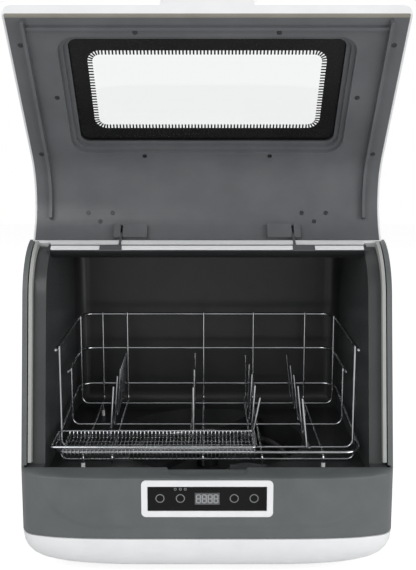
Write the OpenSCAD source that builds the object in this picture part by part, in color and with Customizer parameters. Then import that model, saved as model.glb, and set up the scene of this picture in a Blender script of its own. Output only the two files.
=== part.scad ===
// Countertop dishwasher with a flip-up lid, shown with the lid fully open.
// X runs to the right seen from the front, the front faces -Y, and Z = 0 is under the feet.

/* [Body] */
// Width of the body and of the lid
body_w = 430; // [380:2:480]
// Depth from the face of the control bezel to the back
body_d = 400; // [370:2:440]
// Height of the rubber feet
foot_h = 4; // [3:0.5:8]
// Height of the seam between the white base and the grey panels
seam_z = 56; // [50:1:64]
// Height of the ledge under the closed lid
mouth_z = 132; // [120:1:145]
// Depth of the ledge in front of the mouth
ledge_d = 28; // [24:1:34]
// Thickness of the outer panels
wall = 3; // [2:0.5:4]
// Radius of the upright rear corners
rear_r = 25; // [12:1:40]
// How far the middle of the front stands ahead of its corners
bow = 17; // [10:1:22]
// Horizontal reach of the curve under the base
bowl_reach = 60; // [40:1:70]
// Height of the curve under the base
bowl_rise = 50; // [35:1:50]

/* [Mouth and lid line] */
// Length of the straight front of the mouth
slope_len = 198; // [170:1:220]
// Lean of the straight front from upright, in degrees
slope_lean = 11; // [6:0.5:16]
// Radius of the curve over the top of the mouth
bend_r = 75; // [60:1:90]
// Flat run from the end of the curve to the hinge axis
hinge_run = 3.6; // [2:0.1:8]
// Angle through which the lid opens, in degrees
lid_open = 127.6; // [95:0.1:130]

/* [Lid] */
// Thickness of the lid at its free edge
lid_edge_t = 19; // [17:0.5:28]
// Thickness of the lid where its curve starts
lid_bend_t = 17; // [15:0.5:20]
// Thickness of the lid at the hinge
lid_hinge_t = 14; // [12:0.5:15]
// Thickness of the white lid skin
shell_t = 2.5; // [2:0.1:3]
// Radius along the long outer edges of the lid
lid_round = 8; // [4:0.5:11]
// Thickness of the grey lid liner
liner_t = 2.5; // [2:0.1:3.5]
// Length of the lid behind the hinge axis
lid_tail = 7.5; // [7.5:0.1:8.5]
// Height of the lid's edge seal strip
edge_seal_h = 3.6; // [3:0.2:6]
// Distance from the lid's side to the water guard ribs
rib_inset = 21; // [20:0.5:26]
// Height of the water guard ribs
rib_h = 7; // [4:0.5:8]
// Height of the rib along the free edge
edge_rib_h = 3; // [2:0.5:4]
// Half width of the lid handle
handle_half = 50; // [35:1:70]
// How far the lid handle stands off the lid
handle_h = 15; // [10:0.5:16]

/* [Window] */
// Width of the lid glass
glass_w = 314; // [260:2:320]
// Length of the lid glass along the lid
glass_l = 156; // [120:2:158]
// Thickness of the lid glass
glass_t = 4; // [3:0.5:5]
// Distance of the window's middle from the free edge
window_s = 110; // [105:1:114]
// Width of the stepped recess in the liner
recess_w = 324; // [270:2:332]
// Length of the stepped recess in the liner
recess_l = 166; // [130:1:168]
// Corner radius of the recess
recess_r = 20; // [12:1:26]
// Width of the glass that shows from inside
sight_w = 304; // [250:2:306]
// Length of the glass that shows from inside
sight_l = 146; // [110:1:148]

/* [Tub] */
// Distance from the body's side to the inside of the tub
tub_inset = 26.2; // [25:0.2:40]
// Depth from the mouth to the tub's rear wall
tub_d = 281; // [265:1:290]
// Depth of the rack shelf below the mouth
shelf_drop = 13.2; // [12:0.2:20]
// Depth of the round well below the mouth
well_drop = 50; // [44:1:54]
// Radius of the round well
well_r = 124; // [122:0.5:130]
// Depth of the tub's roof below the hinge axis
roof_drop = 23.3; // [23.3:0.1:30]
// Wall of the tub
tub_t = 2.5; // [2:0.1:3]
// Depth of the guard channel below the lid line
channel_d = 8.5; // [8.5:0.5:11]
// Radius of the corners inside the tub
tub_r = 22; // [10:1:30]

/* [Rack] */
// Distance from the tub's side to the middle of the rack's side rails
rack_room = 11.4; // [8:0.2:20]
// How far the rack's base loop stands out past its side rails
base_spread = 5.1; // [3.6:0.1:5.6]
// Diameter of the rack's rails
rail_dia = 4; // [3:0.5:4.5]
// Diameter of the rack's other wires
wire_dia = 2.8; // [2:0.1:3.2]
// Height of the rack's floor wires above the mouth
rack_floor = 9.5; // [8:0.5:12]
// Height of the top rail above the mouth
rail_top = 130; // [110:1:135]
// Height of the middle rail above the mouth
rail_mid = 81; // [70:1:95]
// Height of the base loop's rear run above the mouth
rail_low = 29; // [27:1:40]
// Distance from the mouth to the rack's front rail
rack_front = 22; // [20:0.5:24]
// Distance from the mouth to the rack's rear rails
rack_rear = 250; // [240:1:262]
// Height of the plate tines' tips above the mouth
plate_top = 76; // [60:1:84]
// Height of the bowl tines' tips above the mouth
bowl_top = 73.4; // [60:0.2:84]

/* [Cutlery tray] */
// Width of the cutlery tray's rim
tray_w = 239.2; // [200:0.2:240]
// Depth of the cutlery tray's rim
tray_d = 57; // [40:1:57]
// Height of the cutlery tray
tray_h = 8.6; // [8:0.2:14]
// Distance between the tray's net wires
tray_pitch = 9; // [8:0.5:14]

/* [Spray arm and sump] */
// Radius of the spray arm
arm_r = 118; // [90:1:119]
// Angle of the spray arm at rest, in degrees
arm_turn = 54; // [0:1:90]
// Radius of the sump
sump_r = 82; // [80:1:84]
// Radius of the filter cup
filter_r = 26; // [20:1:27]
// Radius of the pump rotor
rotor_r = 20; // [15:1:23]

/* [Control panel] */
// Width of the white bezel
bezel_w = 149; // [130:1:160]
// Height of the white bezel
bezel_h = 43.4; // [38:0.2:46]
// Height of the bezel's middle above the ground
bezel_z = 105.5; // [100:0.5:106]
// How far the bezel stands proud of the front panel
bezel_proud = 1.2; // [0.8:0.1:2]
// Width of the black touch panel
touch_w = 135; // [120:1:140]
// Height of the black touch panel
touch_h = 29; // [24:0.5:31]
// Width of the display
display_w = 28; // [24:0.5:34]
// Height of the display
display_h = 14; // [12:0.5:16]

/* [Services] */
// Outer radius of the water inlet's thread
inlet_r = 13.2; // [10:0.1:14]
// Outer radius of the drain spigot
drain_r = 10; // [8:0.5:12]
// Side of the square drying fan
fan_side = 80; // [60:2:92]

/* [Clearances] */
// Gap between fixed neighbours
gap = 0.3; // [0.2:0.05:0.4]
// Gap round a turning pin
pin_gap = 0.2; // [0.15:0.05:0.3]
// Gap between wires that cross
wire_gap = 0.05; // [0.05:0.01:0.3]

/* [Hidden] */

// Faces round a large circle and round a wire
fn_big = 96;
fn_mid = 48;
fn_wire = 16;

// Colours of the finishes
white_abs = "#E9EAEC";
grey_abs = "#65696A";
liner_grey = "#5C5E60";
dark_grey = "#2A2B2D";
rubber_grey = "#8A8C8A";
steel = "#B9BCBF";
black = "#161718";
copper_green = "#1F5A3A";
natural = "#D9D6CC";
motor_blue = "#3C4450";

// The ledge's rear line, where the lid's free edge rests
mouth_y = -body_d / 2 + bezel_proud + ledge_d;
screw_proud = 1.2;
rear_y = body_d / 2 - screw_proud;

// The lid line: a straight slope, a curve and a flat run to the hinge axis
arc_angle = 90 - slope_lean;
arc_len = bend_r * arc_angle * PI / 180;
line_len = slope_len + arc_len + hinge_run;
bend_y = mouth_y + slope_len * sin(slope_lean) + bend_r * cos(slope_lean);
bend_z = mouth_z + slope_len * cos(slope_lean) - bend_r * sin(slope_lean);
axis_y = bend_y + hinge_run;
axis_z = bend_z + bend_r;
deck_z = axis_z + lid_hinge_t;
rib_x = body_w / 2 - rib_inset;
tub_half = body_w / 2 - tub_inset;
rack_half = tub_half - rack_room;
line_steps = 16;

// Point of the lid line at length s, moved out by d, as [y, z]
function line_at(s, d) =
    s <= slope_len
    ? [mouth_y + s * sin(slope_lean) - d * cos(slope_lean),
        mouth_z + s * cos(slope_lean) + d * sin(slope_lean)]
    : s <= slope_len + arc_len
    ? let (a = 180 - slope_lean - (s - slope_len) / bend_r * 180 / PI)
        [bend_y + (bend_r + d) * cos(a), bend_z + (bend_r + d) * sin(a)]
    : [bend_y + s - slope_len - arc_len, bend_z + bend_r + d];

// Lengths at which the lid line between s0 and s1 needs a point
function line_stops(s0, s1, shift = 0) = concat([s0],
    [for (i = [0 : line_steps]) let (s = slope_len + arc_len * i / line_steps + shift)
        if (s > s0 + 0.5 && s < s1 - 0.5) s], [s1]);

// Outline of a band that follows the lid line between two offsets
function band(s0, s1, d0, d1) = let (stops = line_stops(s0, s1), n = len(stops) - 1)
    concat([for (s = stops) line_at(s, d0)], [for (i = [0 : n]) line_at(stops[n - i], d1)]);

// Thickness of the lid at length s
function lid_t(s) = s < slope_len
    ? lid_edge_t + (lid_bend_t - lid_edge_t) * s / slope_len
    : lid_bend_t + (lid_hinge_t - lid_bend_t) * min(1, (s - slope_len) / arc_len);
lid_taper = atan((lid_edge_t - lid_bend_t) / slope_len);
lid_end = line_len + lid_tail;

// Length along the lid line at which its curve has reached a given y
function line_s(y) = slope_len
    + bend_r * (arc_angle - asin(min(1, (bend_y - y) / bend_r))) * PI / 180;

// Lid line lengths where the parts above the mouth start and end
apron_s = line_s(axis_y - 28.3);
shoulder_s = line_s(axis_y - 22);
apron_end = line_s(axis_y - 18);
lip_s0 = line_s(axis_y - 40.1);
lip_s1 = line_s(axis_y - 34.3);
apron_d = -1.5;
beam_d = -3;
rest_t = 2.5;
trough_r = 18;
trough_t = 2.5;
rest_d = apron_d - trough_t - gap;

// Outline of the body in plan, drawn in by inset: a bowed front and round corners
bow_stops = [0, 0.42, 0.58, 0.7, 0.8, 0.88, 0.94, 0.98, 1];
corner_steps = 7;
bow_power = 6;
bow_end = 0.93;
bow_growth = 0.2;
function plan_half(inset) =
    let (h = body_w / 2 - inset, k = bow + bow_growth * inset, xc = bow_end * h,
        turn = atan(bow_power * k * pow(bow_end, bow_power - 1) / h),
        r = (h - xc) / (1 - sin(turn)), yf = -body_d / 2 + bezel_proud + inset,
        yc = yf + k * pow(bow_end, bow_power) + r * cos(turn),
        rr = rear_r + bow_growth * inset, yr = rear_y - inset)
    concat(
        [for (t = bow_stops)
            [xc * t, yf + k * pow(bow_end * t, bow_power)]],
        [for (i = [1 : corner_steps]) let (a = turn - 90 + (90 - turn) * i / corner_steps)
            [h - r + r * cos(a), yc + r * sin(a)]],
        [for (i = [0 : corner_steps]) let (a = 90 * i / corner_steps)
            [h - rr + rr * cos(a), yr - rr + rr * sin(a)]]);
function plan(inset) = let (half = plan_half(inset), n = len(half) - 1)
    concat(half, [for (i = [0 : n - 1]) [-half[n - i][0], half[n - i][1]]]);
module plan_shape(inset) {
    polygon(plan(inset));
}

// Extrudes a y-z outline along X from x0 to x1
module across(x0, x1) {
    translate([x0, 0, 0]) rotate([90, 0, 90]) linear_extrude(x1 - x0) children();
}

// The same shape on both sides of the centre plane
module both_sides() {
    children();
    mirror([1, 0, 0]) children();
}

// A rectangle with true round corners, centred
module round_rect(w, h, r) {
    square([w - 2 * r, h], center = true);
    square([w, h - 2 * r], center = true);
    for (x = [-1, 1], y = [-1, 1])
        translate([x * (w / 2 - r), y * (h / 2 - r)]) circle(r, $fn = fn_mid);
}

// A frame between two such rectangles, from z0 to z1
module round_frame(w, h, r, border, z0, z1) {
    translate([0, 0, z0]) linear_extrude(z1 - z0) difference() {
        round_rect(w, h, r);
        round_rect(w - 2 * border, h - 2 * border, max(1, r - border));
    }
}

// A straight round rod between two points
module rod(p, q, d, bore = 0) {
    v = q - p;
    l = norm(v);
    translate(p) rotate([0, acos(v[2] / l), atan2(v[1], v[0])]) linear_extrude(l) difference() {
        circle(d = d, $fn = fn_wire);
        if (bore > 0)
            circle(d = bore, $fn = fn_wire);
    }
}

// A rod bent along a list of points, with the same radius at each bend
module bent_rod(path, d, r, bore = 0) {
    n = len(path) - 1;
    function unit(v) = v / norm(v);
    function turn(i) = acos(unit(path[i] - path[i - 1]) * unit(path[i + 1] - path[i]));
    function trim(i) = i == 0 || i == n ? 0 : r * tan(turn(i) / 2);
    union() {
        for (i = [0 : n - 1]) {
            u = unit(path[i + 1] - path[i]);
            rod(path[i] + u * trim(i), path[i + 1] - u * trim(i + 1), d, bore);
        }
        for (i = [1 : n - 1]) {
            u = unit(path[i] - path[i - 1]);
            w = unit(path[i + 1] - path[i]);
            z = unit(cross(u, w));
            x = cross(u, z);
            c = path[i] - u * trim(i) - x * r;
            multmatrix([[x[0], u[0], z[0], c[0]], [x[1], u[1], z[1], c[1]],
                [x[2], u[2], z[2], c[2]], [0, 0, 0, 1]])
                rotate_extrude(angle = turn(i), $fn = fn_mid) translate([r, 0]) difference() {
                    circle(d = d, $fn = fn_wire);
                    if (bore > 0)
                        circle(d = bore, $fn = fn_wire);
                }
        }
    }
}

// A closed skin through rings that all have the same number of points
module loft(rings) {
    m = len(rings[0]);
    n = len(rings);
    sides = [for (i = [0 : n - 2], j = [0 : m - 1], k = [0, 1])
        let (a = i * m + j, b = i * m + (j + 1) % m, c = b + m, d = a + m)
        k == 0 ? [a, b, c] : [a, c, d]];
    polyhedron(points = [for (r = rings, p = r) p],
        faces = concat(sides, [[for (j = [0 : m - 1]) m - 1 - j]],
            [[for (j = [0 : m - 1]) (n - 1) * m + j]]));
}

// Turns a lid piece, drawn closed, to the open pose
module opened() {
    translate([0, axis_y, axis_z]) rotate([-lid_open, 0, 0]) translate([0, -axis_y, -axis_z])
        children();
}

// Moves a flat drawing onto the lid's outer face at length s: X across, Y up the lid, Z outward
module on_lid(s) {
    p = line_at(s, lid_t(s));
    translate([0, p[0], p[1]]) rotate([90 - slope_lean - lid_taper, 0, 0]) children();
}

// Moves a flat drawing onto the lid line at length s, without the lid's taper
module on_line(s) {
    p = line_at(s, 0);
    translate([0, p[0], p[1]]) rotate([90 - slope_lean, 0, 0]) children();
}

// Curve under the base: how far the outline is drawn in at height z
function bowl_inset(z, reach) = let (h = min(1, max(0, (seam_z - 2 - z) / bowl_rise)))
    reach * (1 - sqrt(max(0, 1 - h * h)));
bowl_steps = 9;
function ring_of(shape, z) = [for (p = shape) [p[0], p[1], z]];
module bowl(inset, z0, z1) {
    loft(concat([ring_of(plan(inset), z1)], [for (i = [bowl_steps : -1 : 0])
        let (z = z0 + (seam_z - 2 - z0) * (1 - cos(90 * i / bowl_steps)))
        ring_of(plan(inset + bowl_inset(z - z0 + foot_h, bowl_reach)), z)]));
}

// Places of the posts that carry the tub and of the feet
post_x = 140;
post_y = [mouth_y + 44, mouth_y + 247];
post_r = 7;
foot_r = 12;
foot_x = 118;
foot_y = [-112, 112];
base_screw_x = [-60, 60];
base_screw_y = [-122, 122];
shelf_z = mouth_z - shelf_drop;
well_z = mouth_z - well_drop;
hub_y = mouth_y + 140;
module base_pan() {
    color(white_abs) {
        difference() {
            bowl(0, foot_h, seam_z);
            bowl(wall, foot_h + wall, seam_z + 1);
        }
        for (x = [-post_x, post_x], y = post_y)
            translate([x, y, foot_h + wall - 0.5])
                cylinder(r = post_r, h = shelf_z - tub_t - foot_h - wall + 0.5 - gap, $fn = fn_mid);
    }
}

// The crease that frames the middle of the front panel
crease_x = body_w / 2 - 19;
crease_r = 70;
crease_drop = 61;
crease_w = 2;
crease_depth = 0.6;
module crease_line(w) {
    translate([0, mouth_z + crease_r - crease_drop]) {
        square([2 * (crease_x - crease_r), 2 * (crease_r - w)], center = true);
        for (x = [-1, 1])
            translate([x * (crease_x - crease_r), 0]) circle(crease_r - w, $fn = fn_big);
        translate([-crease_x + w, 0]) square([2 * (crease_x - w), crease_r]);
    }
}
module crease() {
    difference() {
        rotate([90, 0, 0]) linear_extrude(body_d) difference() {
            crease_line(0);
            crease_line(crease_w);
            translate([-body_w, mouth_z - 4]) square([2 * body_w, body_w]);
        }
        linear_extrude(body_w) plan_shape(crease_depth);
    }
}
finger_half = 47;
finger_depth = 6;
finger_reach = 21;
finger_wall = tub_t + gap + 1.5;
module finger_cut(depth, back) {
    translate([0, mouth_y - back, 0]) rotate([90, 0, 0]) linear_extrude(finger_reach - back)
        translate([0, mouth_z + depth]) round_rect(2 * finger_half, 4 * depth, 0.7 * depth);
}
module finger_pocket() {
    translate([-finger_half - 2, mouth_y - finger_reach - 2, mouth_z - finger_depth - 2])
        cube([2 * finger_half + 4, finger_reach + 2 - tub_t - gap, finger_depth + 2]);
}
module front_panel() {
    color(grey_abs) difference() {
        intersection() {
            union() {
                translate([0, 0, seam_z + gap]) linear_extrude(mouth_z - seam_z - gap) difference() {
                    plan_shape(0);
                    plan_shape(wall);
                }
                translate([0, 0, mouth_z - wall]) linear_extrude(wall) plan_shape(0);
                finger_pocket();
            }
            translate([-body_w, -body_d, 0]) cube([2 * body_w, body_d + mouth_y, mouth_z]);
        }
        translate([0, -body_d / 2, bezel_z]) cube([bezel_w - 8, 4 * wall, bezel_h - 8], center = true);
        // Finger recess in the ledge
        finger_cut(finger_depth, finger_wall);
        finger_cut(wall - 1, -1);
        // Crease round the shield
        crease();
    }
}

// Side panels follow the lid line at the front
side_top = axis_z - 0.5;
side_rear = rear_y - rear_r;
return_w = 6;
return_t = 2.5;
function side_shape() = concat([[mouth_y + gap / 2, seam_z + gap]],
    [for (s = line_stops(0, line_len)) line_at(s, -0.5) + [gap / 2, 0]],
    [[side_rear - gap / 2, side_top], [side_rear - gap / 2, seam_z + gap]]);
module side_panel() {
    across(body_w / 2 - wall, body_w / 2) difference() {
        polygon(side_shape());
        translate([axis_y, axis_z]) circle(trough_r, $fn = fn_big);
    }
    across(body_w / 2 - return_w, body_w / 2 - wall + 0.01)
        polygon(band(2, shoulder_s - 1, -0.5 - return_t, -0.5));
}
module right_side_panel() {
    color(grey_abs) side_panel();
}
module left_side_panel() {
    color(grey_abs) mirror([1, 0, 0]) side_panel();
}

// Rear panel with its vent and the holes for water, drain and mains
inlet_x = -150;
inlet_z = 84;
drain_x = 125;
drain_z = 84;
gland_x = 60;
gland_z = 84;
gland_r = 9;
fan_x = 90;
fan_z = 300;
port_room = 4;
vent_pitch = 9;
vent_slot = 4;
screw_r = 2;
screw_head_r = 4;
rear_screw_x = [25 - body_w / 2, 0, body_w / 2 - 25];
rear_screw_z = [seam_z + 16, axis_z - 17];
module rear_panel() {
    color(grey_abs) difference() {
        translate([0, 0, seam_z + gap]) linear_extrude(axis_z - gap - seam_z - gap) intersection() {
            difference() {
                plan_shape(0);
                plan_shape(wall);
            }
            translate([-body_w, side_rear + gap / 2]) square([2 * body_w, body_d]);
        }
        translate([inlet_x, rear_y + 1, inlet_z]) rotate([90, 0, 0])
            cylinder(r = inlet_r + port_room, h = 3 * wall, $fn = fn_mid);
        translate([drain_x, rear_y + 1, drain_z]) rotate([90, 0, 0])
            cylinder(r = drain_r + port_room, h = 3 * wall, $fn = fn_mid);
        translate([gland_x, rear_y + 1, gland_z]) rotate([90, 0, 0])
            cylinder(r = gland_r + gap, h = 3 * wall, $fn = fn_mid);
        for (i = [-3 : 3])
            translate([fan_x, rear_y, fan_z + i * vent_pitch])
                cube([fan_side - 14, 4 * wall, vent_slot], center = true);
        for (x = rear_screw_x, z = rear_screw_z)
            translate([x, rear_y + 1, z]) rotate([90, 0, 0])
                cylinder(r = screw_r + gap, h = 3 * wall, $fn = fn_wire);
    }
}

// Top cover: the deck behind the lid, the trough for the lid's end and the apron at the front
deck_y = axis_y + 29;
deck_r = 8;
deck_steps = 5;
module deck(inset, z0, z1) {
    hull() {
        translate([0, 0, z0]) linear_extrude(0.01) deck_plan(inset, 0);
        for (i = [0 : deck_steps]) {
            a = 90 * i / deck_steps;
            translate([0, 0, z1 - deck_r + deck_r * sin(a) - 0.01]) linear_extrude(0.01)
                deck_plan(inset, deck_r * (1 - cos(a)));
        }
    }
}
module deck_plan(inset, draw) {
    intersection() {
        plan_shape(inset + draw);
        translate([-body_w, deck_y + inset]) square([2 * body_w, body_d]);
    }
}
trough_a0 = 190;
trough_a1 = 334;
function trough_path(d) = concat(
    [for (s = line_stops(shoulder_s, line_s(axis_y - 18 - 1.2 * d))) line_at(s, apron_d - d)],
    [for (i = [0 : 14]) let (a0 = trough_a0 + 3.2 * d, a = a0 + (trough_a1 - a0) * i / 14)
        [axis_y + (trough_r + d) * cos(a), axis_z + (trough_r + d) * sin(a)]],
    [[deck_y + d * 0.9, deck_z - 0.5 - d * 0.9]]);
function reversed(list) = [for (i = [len(list) - 1 : -1 : 0]) list[i]];
tab_x = 105.5;
tab_t = 2;
module hinge_slots() {
    both_sides() translate([tab_x - tab_t / 2 - 0.6, mouth_y + 50, axis_z - 30])
        cube([tab_t + 1.2, 60, 60]);
}
module top_cover() {
    color(white_abs) difference() {
        union() {
            difference() {
                deck(0, axis_z, deck_z);
                deck(wall, axis_z - 1, deck_z - wall);
            }
            across(-body_w / 2 + wall + gap, body_w / 2 - wall - gap)
                polygon(concat(trough_path(0), reversed(trough_path(trough_t))));
            across(5 - rib_x, rib_x - 5)
                polygon(band(apron_s, shoulder_s + 2, apron_d - trough_t, apron_d));
        }
        hinge_slots();
    }
}

// Water guard ribs of the lid liner
rib_t = 3.5;
edge_rib_s = 14;
side_rib_s = 6;
rib_end = lid_end - 31;

// White lip along the top of the mouth, with room for the two hinge noses
nose_x0 = 102.6;
nose_x1 = 128.7;
lip_half = tub_half - 1.5;
module top_lip() {
    color(white_abs) {
        across(gap - nose_x0, nose_x0 - gap) polygon(band(lip_s0, lip_s1, beam_d + 0.02, beam_d + 2));
        both_sides() across(nose_x1 + gap, lip_half)
            polygon(band(lip_s0, lip_s1, beam_d + 0.02, beam_d + 2));
    }
}

// The tub: a moulded box with a round well, open along the lid line
roof_z = axis_z - roof_drop;
tub_rear = mouth_y + tub_d;
beam_s0 = line_s(axis_y - 40.8);
function tub_section(grow) = concat(
    [[mouth_y - grow, shelf_z - grow], [mouth_y - grow, mouth_z - wall - gap],
        [mouth_y + gap, mouth_z - wall - gap]],
    [for (s = line_stops(2, beam_s0)) line_at(s, -channel_d)],
    [line_at(beam_s0, beam_d) + [grow * 0.2, 0]],
    [[axis_y - 33, axis_z - 15.2 + grow * 0.2], [axis_y - 23, roof_z + grow]],
    [for (i = [0 : 6]) let (a = 90 - 15 * i)
        [tub_rear - tub_r + (tub_r + grow) * cos(a), roof_z - tub_r + (tub_r + grow) * sin(a)]],
    [for (i = [0 : 6]) let (a = -15 * i)
        [tub_rear - tub_r + (tub_r + grow) * cos(a), shelf_z + tub_r + (tub_r + grow) * sin(a)]]);
module tub_plan(grow) {
    translate([-tub_half - grow, mouth_y - 10]) square([2 * (tub_half + grow), tub_d + 10 - tub_r]);
    translate([-tub_half + tub_r, mouth_y]) square([2 * (tub_half - tub_r), tub_d + grow]);
    for (x = [-1, 1])
        translate([x * (tub_half - tub_r), tub_rear - tub_r]) circle(tub_r + grow, $fn = fn_mid);
}
filter_x = 52;
filter_y = hub_y - 48;
filter_hole = filter_r + 8;
duct_slot_z = roof_z - 12;
duct_slot_pitch = 5;
seam_rise = 0.4;
seam_gap = 0.02;
side_seam = tub_half - 0.5;
module tub_body() {
    difference() {
        union() {
            intersection() {
                across(-body_w / 2, body_w / 2) polygon(tub_section(tub_t));
                linear_extrude(axis_z) tub_plan(tub_t);
            }
            both_sides() across(tub_half, body_w / 2 - return_w - gap)
                polygon(band(2, shoulder_s - 1, -channel_d - tub_t, -channel_d));
            // Sill that closes the foot of each flange
            both_sides() across(tub_half, body_w / 2 - return_w - gap)
                polygon([[mouth_y + gap, mouth_z - wall - gap], [mouth_y + gap, mouth_z - 0.8],
                    line_at(2.6, -channel_d), line_at(2.6, -channel_d - tub_t) - [0, 1]]);
            // Beam over the mouth, with a rest for the apron
            across(-tub_half - tub_t, tub_half + tub_t) {
                polygon(band(beam_s0, apron_s - gap, beam_d - 3.5, beam_d));
                polygon(band(apron_s - 1, apron_s + 5, rest_d - rest_t, rest_d));
            }
        }
        intersection() {
            across(-tub_half, tub_half) polygon(concat(
                [[mouth_y, shelf_z], [mouth_y, mouth_z], [mouth_y - 10, mouth_z]],
                [for (s = line_stops(2, beam_s0)) line_at(s, 20)],
                [line_at(beam_s0, 20), line_at(beam_s0, beam_d - tub_t)],
                [[axis_y - 33, axis_z - 18.2], [axis_y - 23, roof_z]],
                [for (i = [0 : 6]) let (a = 90 - 15 * i)
                    [tub_rear - tub_r + tub_r * cos(a), roof_z - tub_r + tub_r * sin(a)]],
                [for (i = [0 : 6]) let (a = -15 * i)
                    [tub_rear - tub_r + tub_r * cos(a), shelf_z + tub_r + tub_r * sin(a)]]));
            linear_extrude(axis_z) tub_plan(0);
        }
        // Slots for the drying air
        for (i = [-1 : 1])
            translate([fan_x, tub_rear - 6, duct_slot_z + i * duct_slot_pitch])
                cube([46, 30, 2.4], center = true);
    }
}
// The tub is moulded in four pieces that are welded along their seams
module above_floor() {
    translate([-body_w, -body_d, shelf_z + seam_rise + seam_gap]) cube([2 * body_w, 2 * body_d, body_w]);
}
module tub_floor() {
    color(dark_grey) difference() {
        tub_body();
        above_floor();
        translate([0, hub_y, 0]) cylinder(r = well_r + tub_t + seam_gap, h = body_w, $fn = fn_big);
    }
}
module tub_well() {
    color(dark_grey) difference() {
        translate([0, hub_y, well_z - tub_t])
            cylinder(r = well_r + tub_t, h = shelf_z - well_z + tub_t, $fn = fn_big);
        translate([0, hub_y, well_z]) cylinder(r = well_r, h = shelf_z, $fn = fn_big);
        translate([filter_x, filter_y, well_z - 5]) cylinder(r = filter_hole - 3, h = 10, $fn = fn_mid);
        translate([0, hub_y, well_z - 5]) cylinder(r = 9, h = 10, $fn = fn_mid);
        for (a = heater_ends)
            translate([heater_r * cos(a), hub_y + heater_r * sin(a), well_z - 5])
                cylinder(r = heater_tube_r + gap, h = 10, $fn = fn_wire);
    }
}
module tub_shell() {
    color(dark_grey) intersection() {
        tub_body();
        above_floor();
        translate([seam_gap - side_seam, -body_d, 0])
            cube([2 * (side_seam - seam_gap), 2 * body_d, body_w]);
    }
}
module tub_sides() {
    color(dark_grey) intersection() {
        tub_body();
        above_floor();
        both_sides() translate([side_seam, -body_d, 0]) cube([body_w, 2 * body_d, body_w]);
    }
}

// Rubber seal strips up both sides of the mouth
seal_x1 = body_w / 2 - 7.4;
seal_x0 = seal_x1 - 4;
module door_seal() {
    color(rubber_grey) both_sides() across(seal_x0, seal_x1)
        polygon(band(5, shoulder_s - 2, -channel_d + 0.02, -0.4));
}

// Hinge noses in the lip, each with a steel tab that reaches up to the pin
pin_r = 2.5;
eye_r = 5;
module hinge_brackets() {
    color(liner_grey) both_sides() {
        across(nose_x0, nose_x1) polygon(band(lip_s0 - 2, lip_s1 + 0.5, beam_d + 0.02, beam_d + 2.4));
        difference() {
            union() {
                across(tab_x - tab_t / 2, tab_x + tab_t / 2) {
                    polygon(concat([for (s = line_stops(lip_s0 + 1, apron_end)) line_at(s, -0.8)],
                        [[axis_y - 3, axis_z + 3.5], [axis_y - 3.5, axis_z - 3.5]],
                        [[axis_y - 17, axis_z - 7.5]],
                        reversed([for (s = line_stops(lip_s0 + 1, shoulder_s)) line_at(s, -2.9)])));
                    translate([axis_y, axis_z]) circle(eye_r, $fn = fn_mid);
                }
            }
            translate([0, axis_y, axis_z]) rotate([0, 90, 0])
                cylinder(r = pin_r + pin_gap, h = 200, $fn = fn_mid);
        }
    }
}

// Control panel
bezel_y = -body_d / 2;
touch_t = 1.5;
touch_sink = 0.4;
module control_bezel() {
    color(white_abs) translate([0, bezel_y, bezel_z]) rotate([-90, 0, 0]) difference() {
        union() {
            linear_extrude(bezel_proud - 0.05) round_rect(bezel_w, bezel_h, 5.5);
            linear_extrude(bezel_proud + wall + 2) round_rect(bezel_w - 8 - 2 * gap, bezel_h - 8 - 2 * gap, 2);
        }
        translate([0, 0, -1]) linear_extrude(20) square([touch_w, touch_h], center = true);
    }
}
module touch_panel() {
    color(black) translate([0, bezel_y + touch_sink, bezel_z]) rotate([-90, 0, 0])
        linear_extrude(touch_t) difference() {
            square([touch_w - 2 * gap, touch_h - 2 * gap], center = true);
            square([display_w + 2 * gap, display_h + 2 * gap], center = true);
        }
}
board_y = bezel_y + touch_sink + touch_t + 6.5;
module display_module() {
    color(dark_grey) translate([-display_w / 2, bezel_y + touch_sink, bezel_z - display_h / 2])
        cube([display_w, board_y - bezel_y - touch_sink, display_h]);
}
module control_board() {
    color(copper_green) {
        translate([-66, board_y, bezel_z - 18]) cube([132, 1.6, 34]);
        for (x = [-53.3, -30.3, 30.5, 52.9])
            translate([x, board_y - 6.2, bezel_z]) rotate([-90, 0, 0])
                cylinder(r = 5.1, h = 6.2, $fn = fn_mid);
        translate([-40, board_y + 1.6, bezel_z - 10]) cube([24, 7, 20]);
    }
}

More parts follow.
